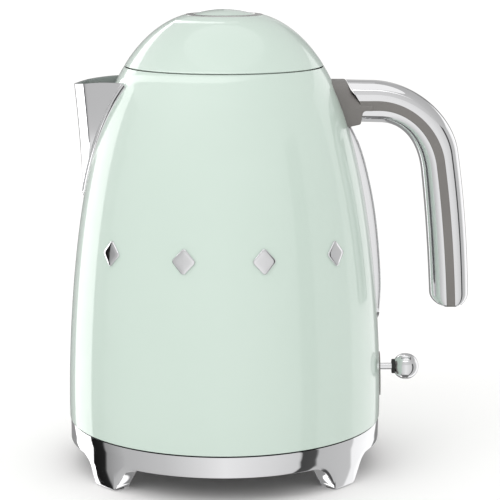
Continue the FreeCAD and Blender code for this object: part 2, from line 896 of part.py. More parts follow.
def filter_frame():
    """The plastic frame of the limescale filter behind the spout."""
    panel = block(filter_x, filter_x + filter_thickness, -filter_half_width, filter_half_width,
                  filter_low_z, filter_high_z)
    ribs = (-filter_half_width / 3, filter_half_width / 3)
    opening = block(filter_x - 1, filter_x + filter_thickness + 1, 3 - filter_half_width,
                    filter_half_width - 3, filter_low_z + 3, filter_high_z - 3)
    for y in ribs:
        opening = opening.cut(block(filter_x - 1, filter_x + 2, y - 0.8, y + 0.8,
                                    filter_low_z, filter_high_z))
    tab = block(filter_x + filter_thickness, filter_x + filter_thickness + 4, -5, 5,
                filter_high_z - 3, filter_high_z - 1)
    return panel.cut(opening).fuse(tab)


def filter_mesh():
    """The fine sieve set in the frame, drawn with holes coarse enough to see through."""
    x = filter_x + 2.2
    mesh = block(x, x + 0.5, 3 - filter_half_width, filter_half_width - 3,
                 filter_low_z + 3, filter_high_z - 3)
    pitch, hole = 3.4, 1.1
    columns = int((filter_half_width - 5) / pitch)
    rows = int((filter_high_z - filter_low_z - 8) / pitch)
    holes = []
    for column in range(-columns, columns + 1):
        for row in range(rows):
            z = filter_low_z + 6 + row * pitch
            holes.append(bar(hole, Vector(x - 1, column * pitch, z), Vector(x + 1, column * pitch, z)))
    return mesh.cut(Part.makeCompound(holes))


def filter_clips():
    """Two rails on the wall that the filter slides into."""
    clips = []
    for sign in (1, -1):
        low, high = sorted((sign * (filter_half_width + 0.4), sign * (filter_half_width + 2.4)))
        rail = block(-FAR, filter_x + filter_thickness, low, high, filter_low_z + 6, filter_high_z - 6)
        clips.append(rail.common(inner_form))
    return clips


# ---------------------------------------------------------------- water window
lens_proud = 1.4
gasket_thickness = 1.5
gasket_border = 2.5


def window_bezel():
    """The chromed frame of the water window, a long bow that thins out downwards."""
    low_r = body_radius(window_low_z)
    points = [side(low_r, window_low_z), side(85.7, 95.4), side(84.7, 117.8), side(81.3, 145.7),
              side(78.0, 161.4), side(71.8, 180.5), side(66.9, window_high_z)]
    bow = Part.BSplineCurve()
    bow.interpolate(points)
    back = Part.makePolygon([points[-1], side(40, window_high_z), side(40, window_low_z), points[0]])
    solid = along_y(Part.Wire([bow.toShape()] + back.Edges), window_half_width)
    long_edges = [e for e in solid.Edges if e.Length > 90 and min(p.x for p in e.discretize(5)) > 60]
    solid = solid.makeFillet(2.2, long_edges)
    corners = [(-window_half_width, window_low_z), (window_half_width, window_low_z),
               (window_half_width, window_high_z), (-window_half_width, window_high_z)]
    rounding = window_half_width - 0.3
    outline = along_x(rounded_wire(corners, (rounding, rounding, 2, 2), front), 0, FAR)
    opening = along_x(stadium(lens_half_width, lens_low_z, lens_high_z), 0, FAR)
    bezel = solid.common(outline).cut(outer_form).cut(opening)
    return bezel.cut(along_y(bracket_outline(), FAR))


def window_lens():
    body = skin_layer(lens_proud, -body_wall - gasket_thickness)
    return body.common(along_x(stadium(lens_half_width, lens_low_z, lens_high_z), 0, FAR))


def window_gasket():
    """The silicone frame that seals the lens against the inside of the wall."""
    layer = skin_layer(-body_wall, -body_wall - gasket_thickness)
    grown = lens_half_width + gasket_border
    ring = layer.common(along_x(stadium(grown, lens_low_z - gasket_border,
                                        lens_high_z + gasket_border), 0, FAR))
    return ring.cut(along_x(stadium(lens_half_width, lens_low_z, lens_high_z), 0, FAR))


# ---------------------------------------------------------------- handle
# Each edge line of the handle has a straight start, a bend and a long slightly bowed grip.
outer_rail = [(64.0, 211.5), (79.0, 211.25), (103.5, 211.25), (124.2, 192.3),
              (127.2, 173.0), (133.4, 133.5), (134.5, grip_end_z)]
inner_rail = [(60.0, 188.75), (84.0, 188.45), (98.0, 188.45), (105.7, 176.2),
              (107.4, 162.3), (111.5, 128.4), (113.4, grip_end_z)]


def between_rails(start_share, end_share):
    """A line between the inner edge (0) and the outer edge (1) of the handle."""
    rail = []
    last = len(inner_rail) - 1
    for i, (a, b) in enumerate(zip(inner_rail, outer_rail)):
        share = start_share + (end_share - start_share) * i / last
        rail.append((a[0] + (b[0] - a[0]) * share, a[1] + (b[1] - a[1]) * share))
    return rail


def rail_edges(rail):
    straight = Part.makeLine(side(*rail[0]), side(*rail[1]))
    return [straight, bezier(*rail[1:5]), bezier(*rail[4:7])]


def between(low_rail, high_rail):
    """The XZ outline between two edge lines of the handle."""
    ends = [Part.makeLine(side(*low_rail[0]), side(*high_rail[0])),
            Part.makeLine(side(*low_rail[-1]), side(*high_rail[-1]))]
    return Part.Wire(Part.__sortEdges__(rail_edges(low_rail) + rail_edges(high_rail) + ends))


frame_low = between_rails(0.31, 0.39)
frame_high = between_rails(0.54, 0.61)


def handle_form():
    """The whole handle with its rounded long edges and rounded free end."""
    solid = along_y(between(inner_rail, outer_rail), grip_half_width)
    wanted = rail_edges(inner_rail) + rail_edges(outer_rail)
    middles = [(e.valueAt((e.FirstParameter + e.LastParameter) / 2)) for e in wanted]
    long_edges = []
    for edge in solid.Edges:
        middle = edge.valueAt((edge.FirstParameter + edge.LastParameter) / 2)
        beside = [m for m in middles if abs(m.x - middle.x) < 0.01 and abs(m.z - middle.z) < 0.01]
        if beside and abs(abs(middle.y) - grip_half_width) < 0.01:
            long_edges.append(edge)
    solid = solid.makeFillet(5.0, long_edges)
    inner_x = inner_rail[-1][0] - 0.6
    outer_x = outer_rail[-1][0]
    above_z = grip_end_z + grip_corner + 2
    end = rounded_wire([(0, FAR), (0, above_z), (inner_x, above_z), (inner_x, grip_end_z),
                        (outer_x, grip_end_z), (outer_x + 1, FAR)],
                       (0, 0, 0, grip_corner, grip_corner, 0), side)
    return solid.common(along_y(end, FAR))


def bracket_outline():
    corners = [(50, bracket_top_z), (65.7, bracket_top_z), (68.5, 205.9), (73.2, 200.6),
               (80.0, 200.6), (80.0, 195.7), (74.6, 195.7), (73.4, 188.4), (68.0, 187.2),
               (50, 187.2)]
    return rounded_wire(corners, (0, 0.8, 1.5, 3.0, 0, 0, 2.2, 1.5, 1.5, 0), side)


def handle_frame():
    """The grey moulding: the root on the body and the spine round to the free end."""
    spine = along_y(between(frame_low, frame_high), grip_half_width + frame_proud)
    spine = spine.common(block(75, FAR, -FAR, FAR, 0, FAR))
    root = along_y(bracket_outline(), bracket_half_width)
    frame = fused([spine, root]).cut(outer_form)
    return frame.cut(fused(handle_screw_shanks(0.0)))


def handle_shell(low_rail, high_rail):
    """One chromed half of the handle, hollow inside."""
    region = along_y(between(low_rail, high_rail), FAR)
    shell = handle_form().common(region)
    return shell.cut(along_y(bracket_outline(), FAR))


def handle_outer_shell():
    shell = handle_shell(frame_high, between_rails(1.2, 1.2))
    pocket = along_y(between(between_rails(0.66, 0.7), between_rails(0.86, 0.9)), grip_half_width - 4)
    pocket = pocket.common(block(84, FAR, -FAR, FAR, grip_end_z + 10, FAR))
    return shell.cut(pocket)


def handle_inner_shell():
    shell = handle_shell(between_rails(-0.2, -0.2), frame_low)
    pocket = along_y(between(between_rails(0.1, 0.12), between_rails(0.22, 0.28)), grip_half_width - 4)
    pocket = pocket.common(block(88, FAR, -FAR, FAR, grip_end_z + 10, FAR))
    return shell.cut(pocket)


handle_screw_y = 7.0
handle_screw_z = 199.0
handle_screw_end_x = 71.0


def handle_screw_shanks(grow):
    start_x = body_radius(handle_screw_z, -body_wall) - 3
    return [bar(2.0 + grow, Vector(start_x, y, handle_screw_z), Vector(handle_screw_end_x, y, handle_screw_z))
            for y in (handle_screw_y, -handle_screw_y)]


def handle_screws():
    """Two screws from inside the body into the root of the handle."""
    head_x = body_radius(handle_screw_z, -body_wall) - 3.4
    screws = []
    for y, shank in zip((handle_screw_y, -handle_screw_y), handle_screw_shanks(0.0)):
        head = bar(3.6, Vector(head_x - 2.2, y, handle_screw_z), Vector(head_x + 0.4, y, handle_screw_z))
        screws.append(head.fuse(shank))
    return screws


# ---------------------------------------------------------------- trims
def front_trims():
    """Four plain raised lozenges in a row round the front."""
    half_w, half_h = trim_width / 2, trim_height / 2
    corners = [(-half_w, trim_z), (0, trim_z - half_h), (half_w, trim_z), (0, trim_z + half_h)]
    reach = body_radius(trim_z)
    blank = along_x(rounded_wire(corners, (1.6,) * 4, front), -reach - 15, -reach + 15)
    trim = skin_layer(trim_proud, 0).common(blank)
    return [turned(trim, azimuth + 90) for azimuth in trim_azimuths]


# ---------------------------------------------------------------- lid
def lid_shell():
    shell = outer_form.cut(lid_form).common(slab(lid_rim_z, FAR))
    return shell.cut(rod(ring_inner_radius + 0.6, 0, FAR))


def button_ring():
    """The bright ring that the button sits in, with a sleeve down through the lid."""
    top_z = dome_top_z + ring_proud
    inner = ring_inner_radius
    face_z = dome_top_z - 0.8
    collar = tube(ring_outer_radius, inner, face_z, top_z)
    rims = [e for e in collar.Edges if is_circle(e, ring_outer_radius, top_z) or is_circle(e, inner, top_z)]
    collar = collar.makeFillet(0.45, rims).cut(lid_shell())
    sleeve = tube(inner + 0.6, inner, dome_top_z - 7, face_z + 0.5)
    return collar.fuse(sleeve)


cup_flange_z = lid_rim_z + 0.1
cup_flange = 1.4
stem_guide_radius = button_stem_radius + 1.3
stem_guide_top_z = dome_top_z - 12.6
stop_x = 26.0


def lid_inner_cover():
    """The cup under the lid that plugs the mouth, with the hinge knuckle and stem guide."""
    flange = lid_form.common(slab(cup_flange_z, cup_flange_z + cup_flange))
    wall = rod(plug_radius, plug_bottom_z, cup_flange_z + cup_flange)
    cup = flange.fuse(wall).cut(rod(plug_radius - plug_wall, plug_bottom_z + 1.5, FAR))
    guide = rod(stem_guide_radius, plug_bottom_z, stem_guide_top_z)
    stop = block(stop_x, stop_x + 2, -5, 5, plug_bottom_z + 1, latch_z + latch_height + 1)
    gap_half_width = hinge_half_width + 1.2
    hinge_gap = block(hinge_x - 4.5, FAR, -gap_half_width, gap_half_width, hinge_z - 5.5, FAR)
    hinge_gap = hinge_gap.cut(rod(plug_radius - 1.5, 0, FAR))
    knuckle = hinge_bar(hinge_barrel_radius, -lid_knuckle_half_width, lid_knuckle_half_width)
    arm = block(plug_radius - 4, hinge_x, -lid_knuckle_half_width, lid_knuckle_half_width,
                hinge_z - 0.6, hinge_z + hinge_barrel_radius)
    cup = fused([cup.cut(hinge_gap), guide, stop, knuckle, arm])
    cup = cup.cut(rod(button_stem_radius + 0.1, plug_bottom_z + 1.5, FAR))
    cup = cup.cut(hinge_bar(hinge_pin_radius + 0.05, -FAR, FAR))
    window = block(-plug_radius - 1, stop_x - 8, -latch_half_width - 0.3, latch_half_width + 0.3,
                   latch_z - 0.3, latch_z + latch_height + 0.3)
    return cup.cut(window).cut(seal_ring(0.0))


def seal_ring(reach):
    return tube(plug_radius + reach, plug_radius - 1.0, seal_z - seal_height / 2, seal_z + seal_height / 2)


def lid_seal():
    """The silicone ring round the plug, with a soft lip towards the collar."""
    ring = seal_ring(0.6)
    lip = tube(plug_radius + 1.3, plug_radius + 0.4, seal_z - 0.4, seal_z + 0.4)
    return ring.fuse(lip)


def button_cap():
    """The painted push button, a shallow dome with a skirt."""
    radius = ring_inner_radius - cap_gap
    edge_z = dome_top_z
    sagitta = cap_crown_z - edge_z
    curvature = (radius ** 2 + sagitta ** 2) / (2 * sagitta)
    centre = Vector(0, 0, cap_crown_z - curvature)
    column = rod(radius, edge_z - cap_skirt, FAR)
    outer = column.common(Part.makeSphere(curvature, centre))
    rim = [e for e in outer.Edges if is_circle(e, radius, edge_z)]
    outer = outer.makeFillet(0.8, rim)
    hollow = rod(radius - cap_wall, 0, FAR).common(Part.makeSphere(curvature - cap_wall, centre))
    boss = rod(5.0, edge_z - 3.5, cap_crown_z).common(Part.makeSphere(curvature - 0.5, centre))
    return outer.cut(hollow).fuse(boss).cut(stem_blank())


stem_top_z = cap_crown_z - cap_wall - 0.6
stem_tip_z = latch_z + 0.8


def stem_blank():
    return rod(button_stem_radius, stem_tip_z, stem_top_z)


def wedge(shift):
    """The half space above the 45 degree face that the stem and the latch share."""
    corner_x, corner_z = -button_stem_radius + shift, stem_tip_z
    size = 40.0
    corners = [side(corner_x - size, corner_z - size), side(corner_x + size, corner_z + size),
               side(corner_x - size, corner_z + size)]
    return along_y(Part.makePolygon(corners + corners[:1]), size)


def button_stem():
    """The stem under the button, ending in the 45 degree wedge that draws the latch."""
    return stem_blank().common(wedge(0.0))


def latch_slider():
    """The bolt that holds the lid shut; the wedge draws it towards the hinge."""
    tip_x = -collar_bore_radius - latch_bite
    low, high = latch_z, latch_z + latch_height
    bolt = block(tip_x, latch_tail_x, -latch_half_width, latch_half_width, low, high)
    clear = button_stem_radius + 0.4
    pocket = block(-clear - button_travel, clear + 2.5, -clear, clear, low - 1, high + 1)
    return bolt.cut(pocket.common(wedge(0.35)))


def spring(radius, wire, length, turns):
    """A coil spring standing on the XY plane."""
    helix = Part.makeHelix(length / turns, length, radius)
    start = helix.Edges[0].valueAt(helix.Edges[0].FirstParameter)
    tangent = helix.Edges[0].tangentAt(helix.Edges[0].FirstParameter)
    section = Part.Wire([Part.makeCircle(wire / 2, start, tangent)])
    return Part.Wire(helix.Edges).makePipeShell([section], True, True)


def button_spring():
    low = stem_guide_top_z + 0.6
    high = dome_top_z - 3.5 - 0.6
    coil = spring(4.4, 0.8, high - low, 5)
    coil.translate(Z * low)
    return coil


def latch_spring():
    """The spring at the length it has when the bolt is drawn right back."""
    wire = 0.5
    start_x = latch_tail_x + button_travel + wire
    coil = spring(1.2, wire, stop_x - wire - start_x, 7)
    coil.rotate(Vector(), Y, 90)
    coil.translate(Vector(start_x, 0, latch_z + latch_height / 2))
    return coil


# ---------------------------------------------------------------- write every sub-part
save("base_skirt", base_skirt())
save("rubber_feet", *rubber_pads())
save("base_deck", base_deck())
save("base_bottom_cover", base_bottom_cover())
save("base_screws", *base_screws())
save("connector_housing", connector_housing())
save("base_contact_ring", base_contacts())
save("cord_gland", cord_gland())
save("terminal_block", terminal_block())
save("terminal_screws", *terminal_screws())
save("connector_pillar", connector_pillar())
save("pillar_contact", pillar_pin())
save("body_shell", body_shell())
save("neck_collar", neck_collar())
save("lid_hinge_pin", hinge_pin())
save("heating_plate", heating_plate())
save("heat_spreader", heat_spreader())
save("heater_element", heater_element())
save("heater_terminals", *heater_terminals())
save("steam_tube", steam_tube())
save("steam_tube_seal", steam_tube_seal())
save("connector_socket", connector_socket())
save("socket_contacts", *socket_contacts())
save("control_housing", control_housing())
save("control_posts", *control_posts())
save("control_screws", *control_screws())
save("bimetal_discs", *bimetal_discs())
save("kettle_bottom_cover", kettle_bottom_cover())
save("plate_studs", *plate_studs())
save("bottom_cover_screws", *bottom_cover_screws())
save("switch_plate", switch_plate())
save("switch_pivot_pin", switch_pivot_pin())
save("switch_rocker", switch_rocker())
save("lever_stem", lever_stem())
save("lever_neck_ring", lever_neck_ring())
save("lever_ball", lever_ball())
save("trip_lever", trip_lever())
save("trip_pin", trip_pin())
save("trip_bracket", *trip_bracket())
save("spout", spout())
save("filter_frame", filter_frame())
save("filter_mesh", filter_mesh())
save("filter_clips", *filter_clips())
save("window_bezel", window_bezel())
save("window_lens", window_lens())
save("window_gasket", window_gasket())
save("handle_frame", handle_frame())
save("handle_outer_shell", handle_outer_shell())
save("handle_inner_shell", handle_inner_shell())
save("handle_screws", *handle_screws())
save("front_trims", *front_trims())
save("lid_shell", lid_shell())
save("button_ring", button_ring())
save("lid_inner_cover", lid_inner_cover())
save("lid_seal", lid_seal())
save("button_cap", button_cap())
save("button_stem", button_stem())
save("button_spring", button_spring())
save("latch_slider", latch_slider())
save("latch_spring", latch_spring())
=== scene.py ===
import bisect
import json
import math

import bmesh
import bpy
from mathutils import Euler, Matrix, Vector


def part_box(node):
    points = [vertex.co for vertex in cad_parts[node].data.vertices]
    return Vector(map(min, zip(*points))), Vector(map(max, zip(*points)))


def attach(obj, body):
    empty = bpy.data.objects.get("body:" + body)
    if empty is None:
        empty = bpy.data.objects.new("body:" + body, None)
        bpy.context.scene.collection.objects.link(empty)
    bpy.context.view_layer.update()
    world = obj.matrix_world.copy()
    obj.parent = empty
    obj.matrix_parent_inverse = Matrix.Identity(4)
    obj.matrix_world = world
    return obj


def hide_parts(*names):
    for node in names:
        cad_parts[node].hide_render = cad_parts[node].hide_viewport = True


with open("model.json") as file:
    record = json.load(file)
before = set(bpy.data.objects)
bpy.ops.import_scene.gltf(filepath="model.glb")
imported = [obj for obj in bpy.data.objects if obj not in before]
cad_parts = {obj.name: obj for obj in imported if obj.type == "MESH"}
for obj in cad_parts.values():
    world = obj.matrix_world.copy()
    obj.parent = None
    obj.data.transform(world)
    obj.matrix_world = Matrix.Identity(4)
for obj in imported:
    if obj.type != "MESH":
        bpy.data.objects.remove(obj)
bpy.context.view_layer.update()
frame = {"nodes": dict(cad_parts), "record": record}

# Everything is worked out in millimetres in the kettle's frame and scaled to metres once.
MM = 0.001

# Body and lid outline, radius and height
base_top_z = 25.5
body_bottom_z = 26.1
body_rim_z = 219.25
lid_rim_z = 219.75
body_wall = 1.0
lid_wall = 1.2
edge_ease = 0.35
body_poles = ((85.9, 25.5), (86.6, 34.6), (86.5, 166.0), (53.7, 219.5))
dome_poles = ((53.7, 219.5), (45.75, 232.46), (34.3, 243.0), (20.9, 246.6))
ring_outer = 20.9
ring_inner = 17.2
ring_top_z = 247.1
cap_radius = 16.9
cap_edge_z = 246.6
cap_crown_z = 249.4
cap_wall = 1.6

# Power base
base_radius = 85.5
skirt_edge_z = 14.3
skirt_wall = 1.5
skirt_lip = 3.0
foot_azimuths = (41.5, 138.5, 221.5, 318.5)
foot_depth = 11.0
foot_bottom_z = 0.6
foot_tip_half_width = 8.8
foot_root_half_width = 23.0
foot_tip_round = 1.6

# Spout
spout_tail_z = 149.5
spout_lip_z = 212.0
spout_tip_x = -80.9
spout_tip_z = 209.5
spout_tail_x = -76.9
spout_level_x = -58.0
spout_sheet = 1.2
crease_half_width = 13.5
crease_slope = 2.1
border_half_top = 28.3
border_half_tail = 4.0
border_width = 2.2

# Handle edge lines: straight start, bend, long grip
outer_rail = ((65.9, 211.5), (79.0, 211.25), (103.5, 211.25), (124.2, 192.3),
              (127.2, 173.0), (133.4, 133.5), (134.5, 87.4))
inner_rail = ((60.0, 188.75), (84.0, 188.45), (98.0, 188.45), (105.7, 176.2),
              (107.4, 162.3), (111.5, 128.4), (113.4, 87.4))
grip_half_width = 11.5
grip_corner = 7.0
grip_end_z = 87.4
grip_side_round = 2.0
outer_half_start_x = 72.4
inner_half_start_x = 72.8
spine_start_x = 74.8
outer_half_power = 2.4
inner_half_power = 2.1
spine_proud = 0.4
spine_end_round = 3.0
neck_x = 100.0
bracket_half_width = 12.5
bracket_crown = 9.0
bracket_power = 3.4
bend_start = 0.12
bend_end = 0.55

# Switch
lever_z = 51.8
ball_x = 100.6
ball_radius = 7.25
stem_radius = 1.85

# Trims
trim_azimuths = (-47.0, -15.0, 14.6, 46.0)
trim_z = 126.5
trim_half_width = 6.5
trim_half_height = 7.25
trim_proud = 1.2
trim_crown = 1.38


# ---------------------------------------------------------------- small geometry helpers
def bezier_point(poles, t):
    """The point of a Bezier curve of any degree."""
    points = [tuple(p) for p in poles]
    while len(points) > 1:
        points = [tuple(a + (b - a) * t for a, b in zip(p, q)) for p, q in zip(points, points[1:])]
    return points[0]


def outline(t):
    """Point and outward normal of the body (t 0..1) and the lid's dome (t 1..2)."""
    poles, local = (body_poles, t) if t <= 1 else (dome_poles, t - 1)
    step = 1e-4
    a = bezier_point(poles, max(local - step, 0))
    b = bezier_point(poles, min(local + step, 1))
    run = Vector((b[0] - a[0], b[1] - a[1])).normalized()
    return Vector(bezier_point(poles, local)), Vector((run.y, -run.x))


def outline_at(z):
    """The outline's parameter at a height."""
    low, high = (0.0, 1.0) if z <= body_poles[-1][1] else (1.0, 2.0)
    for _ in range(40):
        middle = (low + high) / 2
        if outline(middle)[0].y < z:
            low = middle
        else:
            high = middle
    return (low + high) / 2


def body_radius(z):
    return outline(outline_at(z))[0].x


def on_body(y, z, side, proud=0.0):
    """The point of the body at a Y and Z, on the +X or -X side, and its outward normal."""
    point, normal = outline(outline_at(z))
    x = side * math.sqrt(max(point.x ** 2 - y ** 2, 0))
    outward = Vector((x / point.x * normal.x, y / point.x * normal.x, normal.y))
    return Vector((x, y, z)) + outward * proud, outward


def stretch(start, end, count):
    return [start + (end - start) * i / (count - 1) for i in range(count)]


def rounded(points, radii, steps=4):
    """A closed polygon with its corners turned to arcs."""
    result = []
    for i, corner in enumerate(points):
        here = Vector(corner)
        if radii[i] == 0:
            result.append(here)
            continue
        back = (Vector(points[i - 1]) - here).normalized()
        ahead = (Vector(points[(i + 1) % len(points)]) - here).normalized()
        half = back.angle(ahead) / 2
        reach = radii[i] / math.tan(half)
        centre = here + (back + ahead).normalized() * (radii[i] / math.sin(half))
        first = here + back * reach - centre
        last = here + ahead * reach - centre
        turn = first.angle_signed(last)
        for k in range(steps + 1):
            angle = -turn * k / steps
            c, s = math.cos(angle), math.sin(angle)
            result.append(centre + Vector((first.x * c - first.y * s, first.x * s + first.y * c)))
    return result


# ---------------------------------------------------------------- mesh helpers
def finish_mesh(mesh, sharp=35):
    work = bmesh.new()
    work.from_mesh(mesh)
    bmesh.ops.remove_doubles(work, verts=work.verts, dist=2e-6)
    bmesh.ops.dissolve_degenerate(work, edges=work.edges, dist=1e-6)
    bmesh.ops.recalc_face_normals(work, faces=work.faces)
    work.to_mesh(mesh)
    work.free()
    mesh.shade_smooth()
    mesh.set_sharp_from_angle(angle=math.radians(sharp))


def new_object(name, points, faces, sharp=35):
    """A mesh object from points in millimetres."""
    mesh = bpy.data.meshes.new(name)
    mesh.from_pydata([Vector(p) * MM for p in points], [], faces)
    finish_mesh(mesh, sharp)
    piece = bpy.data.objects.new(name, mesh)
    bpy.context.scene.collection.objects.link(piece)
    return piece


def grid_faces(rows, columns, close_rows=False, close_columns=False):
    faces = []
    for i in range(rows if close_rows else rows - 1):
        for j in range(columns if close_columns else columns - 1):
            a, b = i * columns + j, i * columns + (j + 1) % columns
            c, d = (i + 1) % rows * columns + (j + 1) % columns, (i + 1) % rows * columns + j
            faces.append((a, b, c, d))
    return faces


def grid_object(name, grid, close_rows=False, close_columns=False, caps=False, sharp=35):
    """A surface from rows of points; caps closes the first and last closed row."""
    rows, columns = len(grid), len(grid[0])
    points = [p for row in grid for p in row]
    faces = grid_faces(rows, columns, close_rows, close_columns)
    if caps:
        faces.append(tuple(range(columns)))
        faces.append(tuple(range((rows - 1) * columns, rows * columns)))
    return new_object(name, points, faces, sharp)


def lathe(name, profile, segments=160, close=True, axis="Z", at=(0, 0, 0), sharp=35):
    """A profile of (radius, height) points turned about an axis through a point."""
    grid = []
    for i in range(segments):
        angle = 2 * math.pi * i / segments
        c, s = math.cos(angle), math.sin(angle)
        if axis == "Z":
            row = [Vector((r * c, r * s, h)) for r, h in profile]
        else:
            row = [Vector((h, r * c, r * s)) for r, h in profile]
        grid.append([p + Vector(at) for p in row])
    return grid_object(name, grid, close_rows=True, close_columns=close, sharp=sharp)


def apply_modifiers(piece):
    """Bakes the piece's modifiers into its mesh."""
    evaluated = piece.evaluated_get(bpy.context.evaluated_depsgraph_get())
    mesh = bpy.data.meshes.new_from_object(evaluated)
    piece.modifiers.clear()
    piece.data = mesh
    return piece


def prism_cutter(corners, x_low, x_high):
    """A prism along X from (y, z) corners, for cutting openings."""
    ends = [[(x, y, z) for y, z in corners] for x in (x_low, x_high)]
    return grid_object("cutter", ends, close_columns=True, caps=True)


def cut_openings(piece, cutters):
    for cutter in cutters:
        cut = piece.modifiers.new("cut", "BOOLEAN")
        cut.object = cutter
        cut.operation = "DIFFERENCE"
        cut.solver = "EXACT"
    apply_modifiers(piece)
    for cutter in cutters:
        bpy.data.objects.remove(cutter)


def stadium(half_width, z_low, z_high, steps=10):
    corner = half_width * 0.999
    corners = ((-half_width, z_low), (half_width, z_low), (half_width, z_high), (-half_width, z_high))
    return rounded(corners, (corner,) * 4, steps)


def place(piece, body, nodes=(), material=None):
    """Gives a piece its body, slot and finish, and hides the nodes that it stands for."""
    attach(piece, body)
    if nodes:
        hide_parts(*nodes)
    if material is not None:
        piece.data.materials.clear()
        piece.data.materials.append(material)
    return piece


# ---------------------------------------------------------------- materials
def blank_material(name, color, roughness, metallic=0.0):
    material = bpy.data.materials.new(name)
    material.use_nodes = True
    shader = material.node_tree.nodes["Principled BSDF"]
    shader.inputs["Base Color"].default_value = (*color, 1)
    shader.inputs["Roughness"].default_value = roughness
    shader.inputs["Metallic"].default_value = metallic
    return material, shader


def object_space(tree, stretch_by=(1, 1, 1)):
    coordinates = tree.nodes.new("ShaderNodeTexCoord")
    mapping = tree.nodes.new("ShaderNodeMapping")
    mapping.inputs["Scale"].default_value = stretch_by
    tree.links.new(coordinates.outputs["Object"], mapping.inputs["Vector"])
    return mapping.outputs["Vector"]


def noise(tree, vector, scale, detail=4.0, roughness=0.5):
    texture = tree.nodes.new("ShaderNodeTexNoise")
    texture.inputs["Scale"].default_value = scale
    texture.inputs["Detail"].default_value = detail
    texture.inputs["Roughness"].default_value = roughness
    tree.links.new(vector, texture.inputs["Vector"])
    return texture.outputs["Fac"]


def spread(tree, value, low, high):
    """Maps a 0..1 noise value to a range."""
    ranges = tree.nodes.new("ShaderNodeMapRange")
    ranges.inputs["From Min"].default_value = 0.3
    ranges.inputs["From Max"].default_value = 0.7
    ranges.inputs["To Min"].default_value = low
    ranges.inputs["To Max"].default_value = high
    tree.links.new(value, ranges.inputs["Value"])
    return ranges.outputs["Result"]


def tint(tree, value, low, high):
    """Mixes two colours by a noise value."""
    ramp = tree.nodes.new("ShaderNodeValToRGB")
    ramp.color_ramp.elements[0].color = (*low, 1)
    ramp.color_ramp.elements[0].position = 0.3
    ramp.color_ramp.elements[1].color = (*high, 1)
    ramp.color_ramp.elements[1].position = 0.7
    tree.links.new(value, ramp.inputs["Fac"])
    return ramp.outputs["Color"]


def bump(tree, shader, value, strength, distance, socket="Normal"):
    node = tree.nodes.new("ShaderNodeBump")
    node.inputs["Strength"].default_value = strength
    node.inputs["Distance"].default_value = distance
    tree.links.new(value, node.inputs["Height"])
    tree.links.new(node.outputs["Normal"], shader.inputs[socket])
    return node


def paint_material():
    """Pale mint enamel under a clear gloss coat, with a faint orange peel."""
    material, shader = blank_material("mint_enamel", (0.66, 0.80, 0.70), 0.42)
    tree = material.node_tree
    space = object_space(tree)
    cloud = noise(tree, space, 9.0, 3.0)
    tree.links.new(tint(tree, cloud, (0.535, 0.642, 0.572), (0.553, 0.656, 0.588)),
                   shader.inputs["Base Color"])
    tree.links.new(spread(tree, noise(tree, space, 60.0), 0.36, 0.46), shader.inputs["Roughness"])
    shader.inputs["Coat Weight"].default_value = 1.0
    shader.inputs["Coat Roughness"].default_value = 0.02
    shader.inputs["Coat IOR"].default_value = 1.5
    bump(tree, shader, noise(tree, space, 420.0, 2.0), 0.03, 0.0002, "Coat Normal")
    bump(tree, shader, noise(tree, space, 900.0, 2.0), 0.04, 0.0001)
    return material


def chrome_material(name="polished_chrome", color=(0.80, 0.80, 0.81), roughness=(0.035, 0.075)):
    """Bright plating with faint wiping haze."""
    material, shader = blank_material(name, color, roughness[0], 1.0)
    tree = material.node_tree
    space = object_space(tree)
    tree.links.new(spread(tree, noise(tree, space, 45.0, 5.0), *roughness), shader.inputs["Roughness"])
    darker = tuple(c * 0.96 for c in color)
    tree.links.new(tint(tree, noise(tree, space, 14.0), darker, color), shader.inputs["Base Color"])
    bump(tree, shader, noise(tree, space, 130.0, 2.0), 0.015, 0.0002)
    return material


def brushed_material(name, color, low, high, along=(1, 1, 40)):
    """Steel with fine brushing lines across one direction."""
    material, shader = blank_material(name, color, low, 1.0)
    tree = material.node_tree
    lines = noise(tree, object_space(tree, along), 120.0, 6.0, 0.6)
    tree.links.new(spread(tree, lines, low, high), shader.inputs["Roughness"])
    darker = tuple(c * 0.86 for c in color)
    tree.links.new(tint(tree, lines, darker, color), shader.inputs["Base Color"])
    bump(tree, shader, lines, 0.08, 0.0002)
    return material


def moulded_material(name, low, high, roughness, grain=700.0, strength=0.12):
    """Moulded plastic or rubber with a fine spark-eroded grain."""
    material, shader = blank_material(name, low, roughness)
    tree = material.node_tree
    space = object_space(tree)
    tree.links.new(tint(tree, noise(tree, space, 22.0), low, high), shader.inputs["Base Color"])
    tree.links.new(spread(tree, noise(tree, space, 160.0), roughness - 0.05, roughness + 0.06),
                   shader.inputs["Roughness"])
    bump(tree, shader, noise(tree, space, grain, 3.0), strength, 0.0002)
    return material


def lens_material():
    material, shader = blank_material("clear_lens", (0.93, 0.96, 0.96), 0.04)
    tree = material.node_tree
    space = object_space(tree)
    tree.links.new(spread(tree, noise(tree, space, 80.0), 0.03, 0.08), shader.inputs["Roughness"])
    shader.inputs["Transmission Weight"].default_value = 0.9
    shader.inputs["IOR"].default_value = 1.49
    bump(tree, shader, noise(tree, space, 50.0, 2.0), 0.02, 0.0002)
    return material


def heater_material():
    """The heating plate's satin steel, spun in rings."""
    material, shader = blank_material("spun_steel", (0.62, 0.62, 0.61), 0.3, 1.0)
    tree = material.node_tree
    wave = tree.nodes.new("ShaderNodeTexWave")
    wave.wave_type = "RINGS"
    wave.rings_direction = "Z"
    wave.inputs["Scale"].default_value = 260.0
    wave.inputs["Distortion"].default_value = 0.6
    tree.links.new(object_space(tree), wave.inputs["Vector"])
    tree.links.new(spread(tree, wave.outputs["Fac"], 0.24, 0.36), shader.inputs["Roughness"])
    bump(tree, shader, wave.outputs["Fac"], 0.06, 0.0002)
    return material


